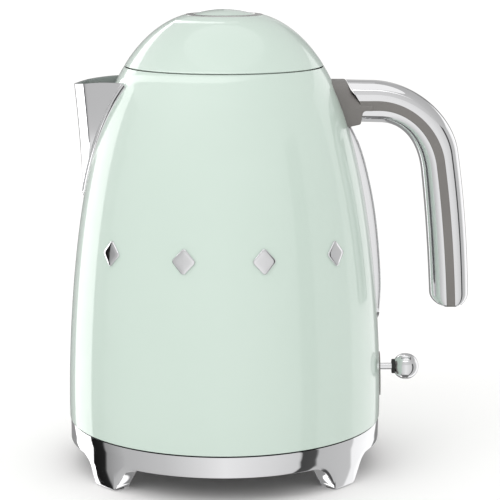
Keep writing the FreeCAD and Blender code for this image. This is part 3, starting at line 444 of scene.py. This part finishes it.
finishes = {
    "body_paint": paint_material(),
    "chrome": chrome_material(),
    "steel": brushed_material("brushed_ring_steel", (0.60, 0.59, 0.58), 0.22, 0.34),
    "inner_steel": heater_material(),
    "grey_plastic": moulded_material("warm_grey_moulding",
                                     (0.165, 0.155, 0.148), (0.185, 0.175, 0.166), 0.42),
    "dark_plastic": moulded_material("black_moulding", (0.022, 0.022, 0.023), (0.034, 0.034, 0.035), 0.5),
    "pale_plastic": moulded_material("natural_moulding", (0.60, 0.58, 0.53), (0.66, 0.64, 0.59), 0.45),
    "rubber": moulded_material("black_rubber",
                               (0.018, 0.018, 0.018), (0.030, 0.030, 0.029), 0.72, 500.0, 0.2),
    "silicone": moulded_material("grey_silicone", (0.50, 0.50, 0.49), (0.56, 0.56, 0.55), 0.55),
    "lens": lens_material(),
    "brass": brushed_material("bright_brass", (0.80, 0.58, 0.27), 0.18, 0.32),
    "aluminium": brushed_material("cast_aluminium", (0.70, 0.70, 0.71), 0.32, 0.48, (1, 1, 1)),
    "screw_steel": brushed_material("zinc_steel", (0.56, 0.57, 0.60), 0.25, 0.4),
}
bare_steel = brushed_material("satin_inner_wall", (0.58, 0.58, 0.58), 0.28, 0.4)
# The spout's inner faces: satin steel with a colour darker than the body's inner wall, which paints shade
# inside the spout.
satin_inside_and_painted_shade = brushed_material("satin_spout_inside_painted_shade", (0.40, 0.40, 0.41), 0.30, 0.42)

node_slots = {part["node"]: part["material_slot"] for part in frame["record"]["subparts"]}
for node, cad_object in frame["nodes"].items():
    cad_object.data.materials.clear()
    cad_object.data.materials.append(finishes[node_slots[node]])


# ---------------------------------------------------------------- body and lid
def shell_profile(t_low, t_high, wall, steps):
    """A closed wall profile between two places on the outline, with eased edges."""
    ease = edge_ease
    outer = [outline(t) for t in stretch(t_low, t_high, steps)]
    run_low = Vector((-outer[0][1].y, outer[0][1].x))
    run_high = Vector((-outer[-1][1].y, outer[-1][1].x))
    profile = [outer[0][0] - outer[0][1] * ease]
    profile.append(outer[0][0] - outer[0][1] * ease * 0.3 + run_low * ease * 0.3)
    profile += [p for p, _ in outer[1:-1]]
    profile.append(outer[-1][0] - outer[-1][1] * ease * 0.3 - run_high * ease * 0.3)
    profile.append(outer[-1][0] - outer[-1][1] * ease)
    profile += [p - n * wall for p, n in reversed(outer)]
    return profile


def true_normals(piece):
    """Sets the body's own smooth normals on its painted faces, so holes leave no shading marks."""
    mesh = piece.data
    table = [outline(t) for t in stretch(0.0, 2.0, 801)]
    heights = [p.y for p, _ in table]
    normals = [corner.vector.copy() for corner in mesh.corner_normals]
    for face in mesh.polygons:
        for loop in face.loop_indices:
            point = mesh.vertices[mesh.loops[loop].vertex_index].co / MM
            radius = math.hypot(point.x, point.y)
            row = min(bisect.bisect(heights, point.z), len(heights) - 1)
            outward = table[row][1]
            smooth = Vector((point.x / radius * outward.x, point.y / radius * outward.x, outward.y))
            if face.normal.dot(smooth) > 0.97:
                normals[loop] = smooth
            elif face.normal.dot(smooth) < -0.97:
                normals[loop] = -smooth
    mesh.normals_split_custom_set(normals)


def build_body():
    """The painted wall, open for the spout, the window and the switch."""
    profile = shell_profile(outline_at(body_bottom_z), outline_at(body_rim_z), body_wall, 72)
    body = lathe("painted_body", profile, 192)
    top, bottom = spout_lip_z - 8, spout_tail_z + 12
    top_half = border_half(top) - 5
    bottom_half = border_half(bottom) - 2
    corners = ((-bottom_half, bottom), (bottom_half, bottom), (top_half, top), (-top_half, top))
    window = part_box("window_lens")
    lens_half = window[1].y / MM
    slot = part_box("switch_plate")
    cutters = [
        prism_cutter(rounded(corners, (3, 3, 4, 4)), -100, -20),
        prism_cutter(stadium(lens_half + 0.1, window[0].z / MM - 0.1, window[1].z / MM + 0.1), 40, 110),
        prism_cutter(stadium(stem_radius + 0.8, slot[0].z / MM + 6.5, lever_z + stem_radius + 1.0), 40, 110),
    ]
    cut_openings(body, cutters)
    place(body, "kettle", ["body_shell"], finishes["body_paint"])
    body.data.materials.append(bare_steel)
    for face in body.data.polygons:
        centre = face.center
        if face.normal.x * centre.x + face.normal.y * centre.y < -0.2 * math.hypot(centre.x, centre.y):
            face.material_index = 1
    body.data.shade_smooth()
    body.data.set_sharp_from_angle(angle=math.radians(35))
    true_normals(body)


def build_lid():
    """The domed lid, open in the middle for the button."""
    hole = ring_inner + 0.6
    t_low = outline_at(lid_rim_z)
    outer = [outline(t) for t in stretch(t_low, 2.0, 40)]
    rim, rim_normal = outer[0]
    profile = [rim - rim_normal * edge_ease, rim - rim_normal * 0.1 + Vector((0, 0.1))]
    profile += [p for p, _ in outer[1:]]
    profile += [Vector((hole, outer[-1][0].y))]
    profile += [Vector((hole, outer[-1][0].y - lid_wall))]
    profile += [p - n * lid_wall for p, n in reversed(outer)]
    lid = lathe("lid_dome", profile, 160)
    place(lid, "lid", ["lid_shell"], finishes["body_paint"])


def build_button():
    """The bright ring and the painted button inside it."""
    face_z = cap_edge_z - 0.8
    low_z = cap_edge_z - 7
    corners = ((ring_inner, low_z), (ring_inner + 0.6, low_z), (ring_inner + 0.6, face_z),
               (ring_outer, face_z), (ring_outer, ring_top_z - 0.3), (ring_inner, ring_top_z))
    profile = rounded(corners, (0, 0, 0, 0, 0.5, 0.35))
    ring = lathe("button_band", profile, 128)
    place(ring, "lid", ["button_ring"], finishes["steel"])

    crown_height = cap_crown_z - cap_edge_z
    sphere = (cap_radius ** 2 + crown_height ** 2) / (2 * crown_height)
    edge_angle = math.asin(cap_radius / sphere)
    crown = []
    for k in range(15):
        angle = edge_angle * 0.97 * k / 14
        crown.append((sphere * math.sin(angle), cap_crown_z - sphere * (1 - math.cos(angle))))
    shoulder = [(cap_radius - 0.18, cap_edge_z - 0.05), (cap_radius, cap_edge_z - 0.45)]
    inner = cap_radius - cap_wall
    skirt = [(cap_radius, cap_edge_z - 6), (inner, cap_edge_z - 6), (inner, cap_edge_z - cap_wall)]
    profile = crown + shoulder + skirt + [(0, cap_crown_z - cap_wall)]
    cap = lathe("push_button", profile, 96, close=False)
    place(cap, "lid_button", ["button_cap"], finishes["body_paint"])


# ---------------------------------------------------------------- power base
def foot_edge(azimuth):
    """Height of the skirt's lower edge at an azimuth: down to the worktop at a foot, and flared."""
    tip, root, corner = foot_tip_half_width, foot_root_half_width, foot_tip_round
    nearest = min(abs((azimuth - a + 180) % 360 - 180) for a in foot_azimuths)
    across = base_radius * math.sin(math.radians(min(nearest, 60)))
    if across >= root:
        return skirt_edge_z
    if across <= tip - corner:
        return foot_bottom_z
    if across <= tip:
        return foot_bottom_z + corner - math.sqrt(max(corner ** 2 - (across - tip + corner) ** 2, 0))
    poles = ((tip, foot_bottom_z + corner), (tip + 4.2, 6.8), (tip + 6.7, skirt_edge_z), (root, skirt_edge_z))
    low, high = 0.0, 1.0
    for _ in range(30):
        middle = (low + high) / 2
        low, high = (middle, high) if bezier_point(poles, middle)[0] < across else (low, middle)
    return bezier_point(poles, low)[1]


def build_skirt():
    """The chromed band with its four flared feet, one ring of points for each azimuth."""
    lip_r = base_radius - skirt_wall - skirt_lip
    top = base_top_z
    grid = []
    count = 720
    for i in range(count):
        azimuth = 360.0 * i / count
        low = foot_edge(azimuth)
        foot = low < skirt_edge_z - 0.05
        inner = base_radius - foot_depth if foot else base_radius - skirt_wall
        roof = skirt_edge_z if foot else low + 0.6
        ease = min(0.7, 0.4 + (skirt_edge_z - low) * 0.1)
        profile = [(lip_r, top - 1.2), (lip_r, top - 0.2), (lip_r + 0.2, top), (base_radius - 0.7, top),
                   (base_radius - 0.2, top - 0.2), (base_radius, top - 0.7), (base_radius, top - 5.5),
                   (base_radius, low + (top - 5.5 - low) * 0.5), (base_radius, low + ease),
                   (base_radius - ease * 0.3, low + ease * 0.3), (base_radius - ease, low),
                   (inner + ease, low), (inner, low + ease * 0.8), (inner, roof),
                   (base_radius - skirt_wall, roof + 0.3), (base_radius - skirt_wall, top - 1.2)]
        angle = math.radians(azimuth)
        grid.append([(r * math.cos(angle), r * math.sin(angle), z) for r, z in profile])
    skirt = grid_object("chrome_base_skirt", grid, close_rows=True, close_columns=True, sharp=40)
    place(skirt, "base", ["base_skirt"], finishes["chrome"])


# ---------------------------------------------------------------- spout
def rise(z):
    """How far up the spout a height is, 0 at its tail and 1 at its lip."""
    return (z - spout_tail_z) / (spout_lip_z - spout_tail_z)


def border_half(z):
    return border_half_tail + (border_half_top - border_half_tail) * rise(z)


def rim_height(x):
    """The pouring lip, level at the body and falling in an arc towards the tip."""
    crown = (spout_level_x - spout_tip_x) ** 2 / (spout_lip_z - spout_tip_z)
    return spout_lip_z - max(spout_level_x - x, 0) ** 2 / crown


def beak_point(z, u):
    """A point of the spout's outer face; u runs -1..1 from one root round the nose to the other.

    A blunt nose of even width runs back to a soft crease, and a flatter side from there to the root.
    """
    half = border_half(z) - border_width
    root = -math.sqrt(body_radius(min(z, body_rim_z)) ** 2 - half ** 2) + 1.0
    lean = rise(z)
    nose = spout_tail_x + (spout_tip_x - spout_tail_x) * (0.55 * lean + 0.45 * lean ** 2)
    crease_y = min(crease_half_width, 0.97 * half)
    crease_x = nose + crease_y / crease_slope
    t = abs(u)
    if t < 0.5:
        x, y = bezier_point(((nose, 0.0), (nose, crease_y * 0.3), (crease_x, crease_y)), t / 0.5)
    else:
        x, y = bezier_point(((crease_x, crease_y), (root, half)), (t - 0.5) / 0.5)
    height = (rim_height(x) - spout_tail_z) / (spout_lip_z - spout_tail_z)
    return Vector((x, math.copysign(y, u) if u else 0.0, spout_tail_z + (z - spout_tail_z) * height))


def build_spout():
    """The folded sheet, thin at its rim, and the stepped border that seats it on the body."""
    rows = [[beak_point(z, u) for u in stretch(-1.0, 1.0, 61)]
            for z in stretch(spout_tail_z + 1.2, spout_lip_z, 44)]
    beak = grid_object("spout_sheet", rows, sharp=60)
    for polygon in beak.data.polygons:
        polygon.use_smooth = True
    if beak.data.polygons[len(beak.data.polygons) // 2].normal.x > 0:
        beak.data.flip_normals()
    beak.data.materials.append(finishes["chrome"])
    beak.data.materials.append(satin_inside_and_painted_shade)
    wall = beak.modifiers.new("wall", "SOLIDIFY")
    wall.thickness = spout_sheet * MM
    wall.offset = -1.0
    # The inner faces take the second material, the darker satin steel that paints shade inside the spout.
    wall.material_offset = 1
    edge = beak.modifiers.new("edge", "BEVEL")
    edge.width = 0.3 * MM
    edge.segments = 2
    edge.limit_method = "ANGLE"
    edge.angle_limit = math.radians(60)
    apply_modifiers(beak)
    beak.data.shade_smooth()
    beak.data.set_sharp_from_angle(angle=math.radians(50))
    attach(beak, "kettle")
    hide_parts("spout")

    top, tail = spout_lip_z - 1.0, spout_tail_z
    down = [(border_half(z) - 1.4, z) for z in stretch(top, tail + 3.0, 40)]
    turn = [(down[-1][0] * math.cos(a), down[-1][1] - 2.6 * math.sin(a))
            for a in stretch(0.0, math.pi, 13)]
    path = down + turn[1:-1] + [(-y, z) for y, z in reversed(down)]
    section = ((-1.35, -0.4), (-1.35, 0.9), (-1.1, 1.35), (-0.6, 1.5), (-0.15, 1.3), (0.05, 0.75),
               (0.9, 0.6), (1.3, 0.35), (1.4, -0.4))
    grid = []
    for i, (y, z) in enumerate(path):
        here, outward = on_body(y, z, -1)
        before = on_body(*path[max(i - 1, 0)], -1)[0]
        after = on_body(*path[min(i + 1, len(path) - 1)], -1)[0]
        along = (after - before).normalized()
        across = along.cross(outward).normalized()
        size = 1.0 + 0.35 * rise(z)
        grid.append([here + across * (a * size) + outward * (h * size) for a, h in section])
    border = grid_object("spout_border", grid, close_columns=True, caps=True, sharp=50)
    place(border, "kettle", (), finishes["chrome"])


# ---------------------------------------------------------------- handle
def rail_between(start_share, end_share):
    """A line between the handle's inner edge (0) and outer edge (1)."""
    last = len(inner_rail) - 1
    rail = []
    for i, (a, b) in enumerate(zip(inner_rail, outer_rail)):
        share = start_share + (end_share - start_share) * i / last
        rail.append((a[0] + (b[0] - a[0]) * share, a[1] + (b[1] - a[1]) * share))
    return rail


def rail_point(rail, t):
    """A point along a rail; the bend takes the middle of the range."""
    if t < bend_start:
        return Vector(bezier_point(rail[0:2], t / bend_start))
    if t < bend_end:
        return Vector(bezier_point(rail[1:5], (t - bend_start) / (bend_end - bend_start)))
    return Vector(bezier_point(rail[4:7], (t - bend_end) / (1 - bend_end)))


def started_at(rail, x):
    """The same rail with its first point moved along X."""
    return [(x, rail[0][1])] + list(rail[1:])


def grip_section(power, steps=28):
    """Half an oblong: (across -1..1, depth 0..1) from one flat edge over the crown to the other."""
    points = []
    for k in range(steps + 1):
        angle = math.pi * k / steps
        c, s = math.cos(angle), math.sin(angle)
        points.append((math.copysign(abs(c) ** (2 / power), c), abs(s) ** (2 / power)))
    return points


def handle_half(name, flat_rail, crown_rail, node, power):
    """One chromed half of the handle, from the grey spine out to its rounded crown."""
    grid = []
    for t in stretch(0.0, 1.0, 160):
        flat = rail_point(flat_rail, t)
        crown = rail_point(crown_rail, t)
        above_end = flat.y - grip_end_z
        width = grip_half_width
        if above_end < grip_corner and flat.x > neck_x:
            back = grip_corner - math.sqrt(max(grip_corner ** 2 - (grip_corner - above_end) ** 2, 0))
            crown = crown - (crown - flat).normalized() * back
        if above_end < grip_side_round and flat.x > neck_x:
            short = grip_side_round - above_end
            width -= grip_side_round - math.sqrt(max(grip_side_round ** 2 - short ** 2, 0))
        ring = []
        for across, depth in grip_section(power):
            p = flat + (crown - flat) * depth
            ring.append((p.x, across * width, p.y))
        grid.append(ring)
    half = grid_object(name, grid, close_columns=True, caps=True, sharp=50)
    place(half, "kettle", [node], finishes["chrome"])


def bracket_drop(y, half_width):
    """How far the bracket's top falls towards its sides, as the chrome halves do."""
    share = min(abs(y) / half_width, 1.0)
    return bracket_crown * (1 - (1 - share ** bracket_power) ** (1 / bracket_power))


def build_bracket():
    """The grey socket between body and grip, crowned on top, with its sides eased."""
    corners = ((56.0, 211.6), (65.7, 211.6), (68.5, 205.9), (73.2, 200.6), (80.0, 200.6), (80.0, 195.7),
               (74.6, 195.7), (73.4, 188.4), (68.0, 187.2), (56.0, 187.2))
    edge = rounded(corners, (0.5, 1.6, 3.0, 3.5, 0.4, 0.4, 2.2, 1.5, 1.5, 0.5), 6)
    centre = Vector((68.0, 198.0))
    grid = []
    for k in range(25):
        turn = math.pi * k / 24
        y = -bracket_half_width * math.cos(turn)
        ease = 0.9 * (1 - math.sqrt(max(1 - min(abs(y) / bracket_half_width, 1) ** 24, 0)))
        row = []
        for p in edge:
            inward = (centre - p).normalized() * ease
            weight = min(max((p.y - 196.0) / 10.0, 0.0), 1.0)
            row.append((p.x + inward.x, y, p.y + inward.y - bracket_drop(y, bracket_half_width) * weight))
        grid.append(row)
    bracket = grid_object("handle_bracket", grid, close_columns=True, caps=True, sharp=40)
    place(bracket, "kettle", ["handle_frame"], finishes["grey_plastic"])


def build_spine(low, high):
    """The grey strip between the chromed halves, a little proud of them."""
    grid = []
    for t in stretch(0.0, 1.0, 140):
        a = rail_point(low, t)
        b = rail_point(high, t)
        width = grip_half_width + spine_proud
        above_end = a.y - grip_end_z
        if above_end < spine_end_round and a.x > neck_x:
            short = spine_end_round - above_end
            width -= spine_end_round - math.sqrt(max(spine_end_round ** 2 - short ** 2, 0))
        run = (b - a).normalized() * 0.3
        low_edge, high_edge = a - run * 0.1, b + run * 0.1
        ring = [(low_edge.x, -width + 0.3, low_edge.y), ((a + run).x, -width, (a + run).y),
                ((b - run).x, -width, (b - run).y), (high_edge.x, -width + 0.3, high_edge.y),
                (high_edge.x, width - 0.3, high_edge.y), ((b - run).x, width, (b - run).y),
                ((a + run).x, width, (a + run).y), (low_edge.x, width - 0.3, low_edge.y)]
        grid.append(ring)
    spine = grid_object("handle_spine", grid, close_columns=True, caps=True, sharp=40)
    place(spine, "kettle", (), finishes["grey_plastic"])


def build_handle():
    """Two chromed halves with the grey spine between them, in the grey bracket."""
    high = started_at(rail_between(0.54, 0.61), outer_half_start_x)
    low = started_at(rail_between(0.31, 0.39), spine_start_x)
    crown = started_at(inner_rail, inner_half_start_x)
    handle_half("handle_outer_half", high, outer_rail, "handle_outer_shell", outer_half_power)
    handle_half("handle_inner_half", low, crown, "handle_inner_shell", inner_half_power)
    build_bracket()
    build_spine(low, high)


# ---------------------------------------------------------------- switch and trims
def build_switch_ball():
    """The chromed ball with the small collar where it screws to the stem."""
    start = -ball_radius
    profile = [(stem_radius, start + 0.2), (stem_radius + 1.2, start + 0.1), (stem_radius + 1.3, start + 0.6)]
    first = math.asin((stem_radius + 1.3) / ball_radius)
    for k in range(33):
        angle = first + (math.pi - first) * k / 32
        profile.append((ball_radius * math.sin(angle), -ball_radius * math.cos(angle)))
    ball = lathe("switch_knob", profile, 64, close=False, axis="X", at=(ball_x, 0, lever_z))
    place(ball, "switch_lever", ["lever_ball"], finishes["chrome"])


def build_trims():
    """Four plain lozenges with rolled edges."""
    corners = ((-trim_half_width, 0), (0, -trim_half_height), (trim_half_width, 0), (0, trim_half_height))
    edge = rounded(corners, (1.6,) * 4, 6)
    rings = ((1.0, -0.3), (1.0, 0.7), (0.97, 1.0), (0.90, 1.2), (0.6, 1.32), (0.3, 1.36), (0.02, trim_crown))
    for number, azimuth in enumerate(trim_azimuths):
        turn = Matrix.Rotation(math.radians(azimuth - 90), 4, "Z")
        grid = []
        for size, height in rings:
            ring = []
            for p in edge:
                proud = height * trim_proud / trim_crown
                point, _ = on_body(p.x * size, trim_z + p.y * size, 1, proud)
                ring.append(turn @ point)
            grid.append(ring)
        trim = grid_object(f"front_lozenge_{number + 1}", grid, close_columns=True, caps=True, sharp=60)
        place(trim, "kettle", ["front_trims"], finishes["chrome"])


build_body()
build_lid()
build_button()
build_skirt()
build_spout()
build_handle()
build_switch_ball()
build_trims()


# ---------------------------------------------------------------- studio
# A far round wall of cards, softboxes and flags, seen only in reflections.
# Azimuths are degrees round the kettle from the camera's side, positive to the right.
# A band is (start azimuth, end azimuth, brightness at its start, brightness at its end).
wall_radius = 30.0
wall_sides = 72
wall_top_elevation = 22.0
upper_top_elevation = 60.0
wall_foot_elevation = -70.0
ribbon_radius = 24.0
ribbon_low = 31.3
ribbon_high = 33.5
ribbon_corner_azimuth = 50
lid_light_low = 34
lid_light_high = 66
view_drop = math.radians(10.8)
floor_radius = 4.0
brightest = 6.0
wall_bands = (
    (-180, -146, 0.30, 0.34),
    (-144, -115, 2.00, 2.30),
    (-114, -99, 0.01, 0.02),
    (-97, -80, 0.34, 0.52),
    (-80, -45, 0.55, 0.66),
    (-45, 0, 0.66, 1.00),
    (0, 56, 1.00, 0.74),
    (57, 70, 0.07, 0.09),
    (71, 106, 0.60, 0.66),
    (108, 147, 1.10, 1.30),
    (151, 165, 0.26, 0.30),
    (168, 180, 0.60, 0.55),
)
upper_bands = (
    (-180, -146, 0.50, 0.50),
    (-140, -80, 0.50, 0.55),
    (-80, -45, 0.55, 0.66),
    (-45, 0, 0.66, 0.80),
    (0, 56, 0.80, 0.66),
    (60, 180, 0.62, 0.50),
)
lid_light_bands = ((-180, -30, 2.4, 2.4), (-30, 60, 2.4, 1.0))
ribbon_bands = ((-180, 0, 3.0, 3.0), (0, 60, 3.0, 1.0))


def card_material(name, bands):
    """Brightness round the wall: each band runs from its first to its second value."""
    material = bpy.data.materials.new(name)
    material.use_nodes = True
    tree = material.node_tree
    tree.nodes.clear()
    turn = tree.nodes.new("ShaderNodeTexGradient")
    turn.gradient_type = "RADIAL"
    mapping = tree.nodes.new("ShaderNodeMapping")
    mapping.inputs["Rotation"].default_value = (0, 0, math.radians(90))
    coordinates = tree.nodes.new("ShaderNodeTexCoord")
    tree.links.new(coordinates.outputs["Object"], mapping.inputs["Vector"])
    tree.links.new(mapping.outputs["Vector"], turn.inputs["Vector"])
    ramp = tree.nodes.new("ShaderNodeValToRGB")
    tree.links.new(turn.outputs["Fac"], ramp.inputs["Fac"])
    stops = ramp.color_ramp.elements
    wanted = []
    for start, end, first, last in bands:
        wanted += [((start + 180) / 360, first), ((end + 180) / 360, last)]
    stops[0].position, stops[1].position = wanted[0][0], wanted[-1][0]
    stops[0].color = (wanted[0][1] / brightest,) * 3 + (1,)
    stops[1].color = (wanted[-1][1] / brightest,) * 3 + (1,)
    for position, value in wanted[1:-1]:
        stops.new(position).color = (value / brightest,) * 3 + (1,)
    emission = tree.nodes.new("ShaderNodeEmission")
    emission.inputs["Strength"].default_value = brightest
    tree.links.new(ramp.outputs["Color"], emission.inputs["Color"])
    output = tree.nodes.new("ShaderNodeOutputMaterial")
    tree.links.new(emission.outputs["Emission"], output.inputs["Surface"])
    return material


def reflection_card(name, points, faces, bands):
    """A glowing surface that only mirror-like surfaces see."""
    mesh = bpy.data.meshes.new(name)
    mesh.from_pydata(points, [], faces)
    mesh.materials.append(card_material(name, bands))
    card = bpy.data.objects.new(name, mesh)
    card.visible_camera = False
    card.visible_diffuse = False
    card.visible_transmission = False
    card.visible_shadow = False
    bpy.context.scene.collection.objects.link(card)


def round_wall(name, low_elevation, high_elevation, bands):
    """A round wall between two elevations; gives back its foot's corners."""
    low, high = (wall_radius * math.tan(math.radians(e)) for e in (low_elevation, high_elevation))
    points = []
    for i in range(wall_sides):
        angle = 2 * math.pi * i / wall_sides
        x, y = wall_radius * math.cos(angle), wall_radius * math.sin(angle)
        points += [(x, y, low), (x, y, high)]
    reflection_card(name, points, grid_faces(wall_sides, 2, close_rows=True), bands)
    return points[::2]


def build_walls():
    """The wall with its cards, the plainer wall above it, and the grey disc that closes its foot."""
    foot = round_wall("card_wall", wall_foot_elevation, wall_top_elevation, wall_bands)
    round_wall("upper_wall", wall_top_elevation, upper_top_elevation, upper_bands)
    reflection_card("dark_foot", foot, [tuple(range(len(foot)))], ((-180, 180, 0.2, 0.2),))


def mirrored_view(azimuth, elevation):
    """Where the view down at the kettle goes after a surface that faces this way."""
    a, e = math.radians(azimuth), math.radians(elevation)
    facing = Vector((math.cos(e) * math.sin(a), -math.cos(e) * math.cos(a), math.sin(e)))
    view = Vector((0, math.cos(view_drop), -math.sin(view_drop)))
    return view - 2 * view.dot(facing) * facing


def ribbon(name, normals, bands):
    """A light seen by surfaces whose facing runs between the two (azimuth, elevation) of each row."""
    points = [mirrored_view(*facing) * ribbon_radius for row in normals for facing in row]
    reflection_card(name, points, grid_faces(len(normals), 2), bands)


def build_ribbons():
    """Long lights whose reflections follow the shoulder, the lid's left side and its crown."""
    shoulder = []
    for azimuth in range(-76, 26, 2):
        corner = max(-ribbon_corner_azimuth - azimuth, 0) / 26
        taper = (ribbon_high - ribbon_low) * max(azimuth, 0) / 30
        low = ribbon_low + taper - 14.0 * corner ** 2.5
        shoulder.append(((azimuth, low), (azimuth, ribbon_high)))
    ribbon("shoulder_light", shoulder, ribbon_bands)
    flank = []
    for elevation in range(lid_light_low, lid_light_high + 1, 2):
        inner = -60.0 - 6.0 * (elevation - lid_light_low) / (lid_light_high - lid_light_low)
        flank.append(((-73.0, elevation), (inner, elevation)))
    ribbon("lid_side_light", flank, lid_light_bands)
    crown = []
    for azimuth in range(-74, 22, 4):
        low = lid_light_high + (azimuth + 74.0) / 60.0
        crown.append(((azimuth, low), (azimuth, 69.5)))
    ribbon("lid_crown_light", crown, lid_light_bands)


def build_floor():
    """A round white floor that runs into the white background."""
    low, high = (0.935, 0.928, 0.922), (0.945, 0.938, 0.932)
    material, shader = blank_material("pale_floor", low, 0.8)
    shader.inputs["Specular IOR Level"].default_value = 0.0
    tree = material.node_tree
    cloud = noise(tree, object_space(tree), 3.0)
    tree.links.new(tint(tree, cloud, low, high), shader.inputs["Base Color"])
    mesh = bpy.data.meshes.new("floor")
    edge = []
    for degrees in range(0, 360, 3):
        angle = math.radians(degrees)
        edge.append((floor_radius * math.cos(angle), floor_radius * math.sin(angle), 0))
    mesh.from_pydata(edge, [], [tuple(range(len(edge)))])
    mesh.materials.append(material)
    floor = bpy.data.objects.new("floor", mesh)
    floor.visible_glossy = False
    bpy.context.scene.collection.objects.link(floor)


def soft_light(name, size, location, power):
    """An area light aimed at the middle of the kettle, and not seen in it."""
    light = bpy.data.lights.new(name, "AREA")
    light.shape = "RECTANGLE"
    light.size, light.size_y = size
    light.energy = power
    lamp = bpy.data.objects.new(name, light)
    lamp.location = location
    aim = Vector((0, 0, 0.1)) - Vector(location)
    lamp.rotation_euler = aim.to_track_quat("-Z", "Y").to_euler()
    lamp.visible_glossy = False
    bpy.context.scene.collection.objects.link(lamp)


def build_studio():
    build_floor()
    world = bpy.data.worlds.new("studio")
    world.use_nodes = True
    background = world.node_tree.nodes["Background"]
    background.inputs["Color"].default_value = (1, 1, 1, 1)
    background.inputs["Strength"].default_value = 1.1
    bpy.context.scene.world = world
    build_walls()
    build_ribbons()
    soft_light("key_left", (1.2, 1.2), (-1.2, -1.2, 1.5), 8.0)


def build_camera():
    """The view of the photograph: nearly level, 10.8 degrees down, a long lens."""
    camera = bpy.data.cameras.new("camera")
    camera.sensor_width = 36.0
    camera.lens = 133.7
    eye = bpy.data.objects.new("camera", camera)
    eye.location = (0, -1.0028, 0.30965)
    eye.rotation_euler = Euler((math.pi / 2 - 0.189, 0, math.radians(-0.8)))
    bpy.context.scene.collection.objects.link(eye)
    bpy.context.scene.camera = eye


build_studio()
build_camera()
bpy.context.scene.view_settings.view_transform = "Standard"
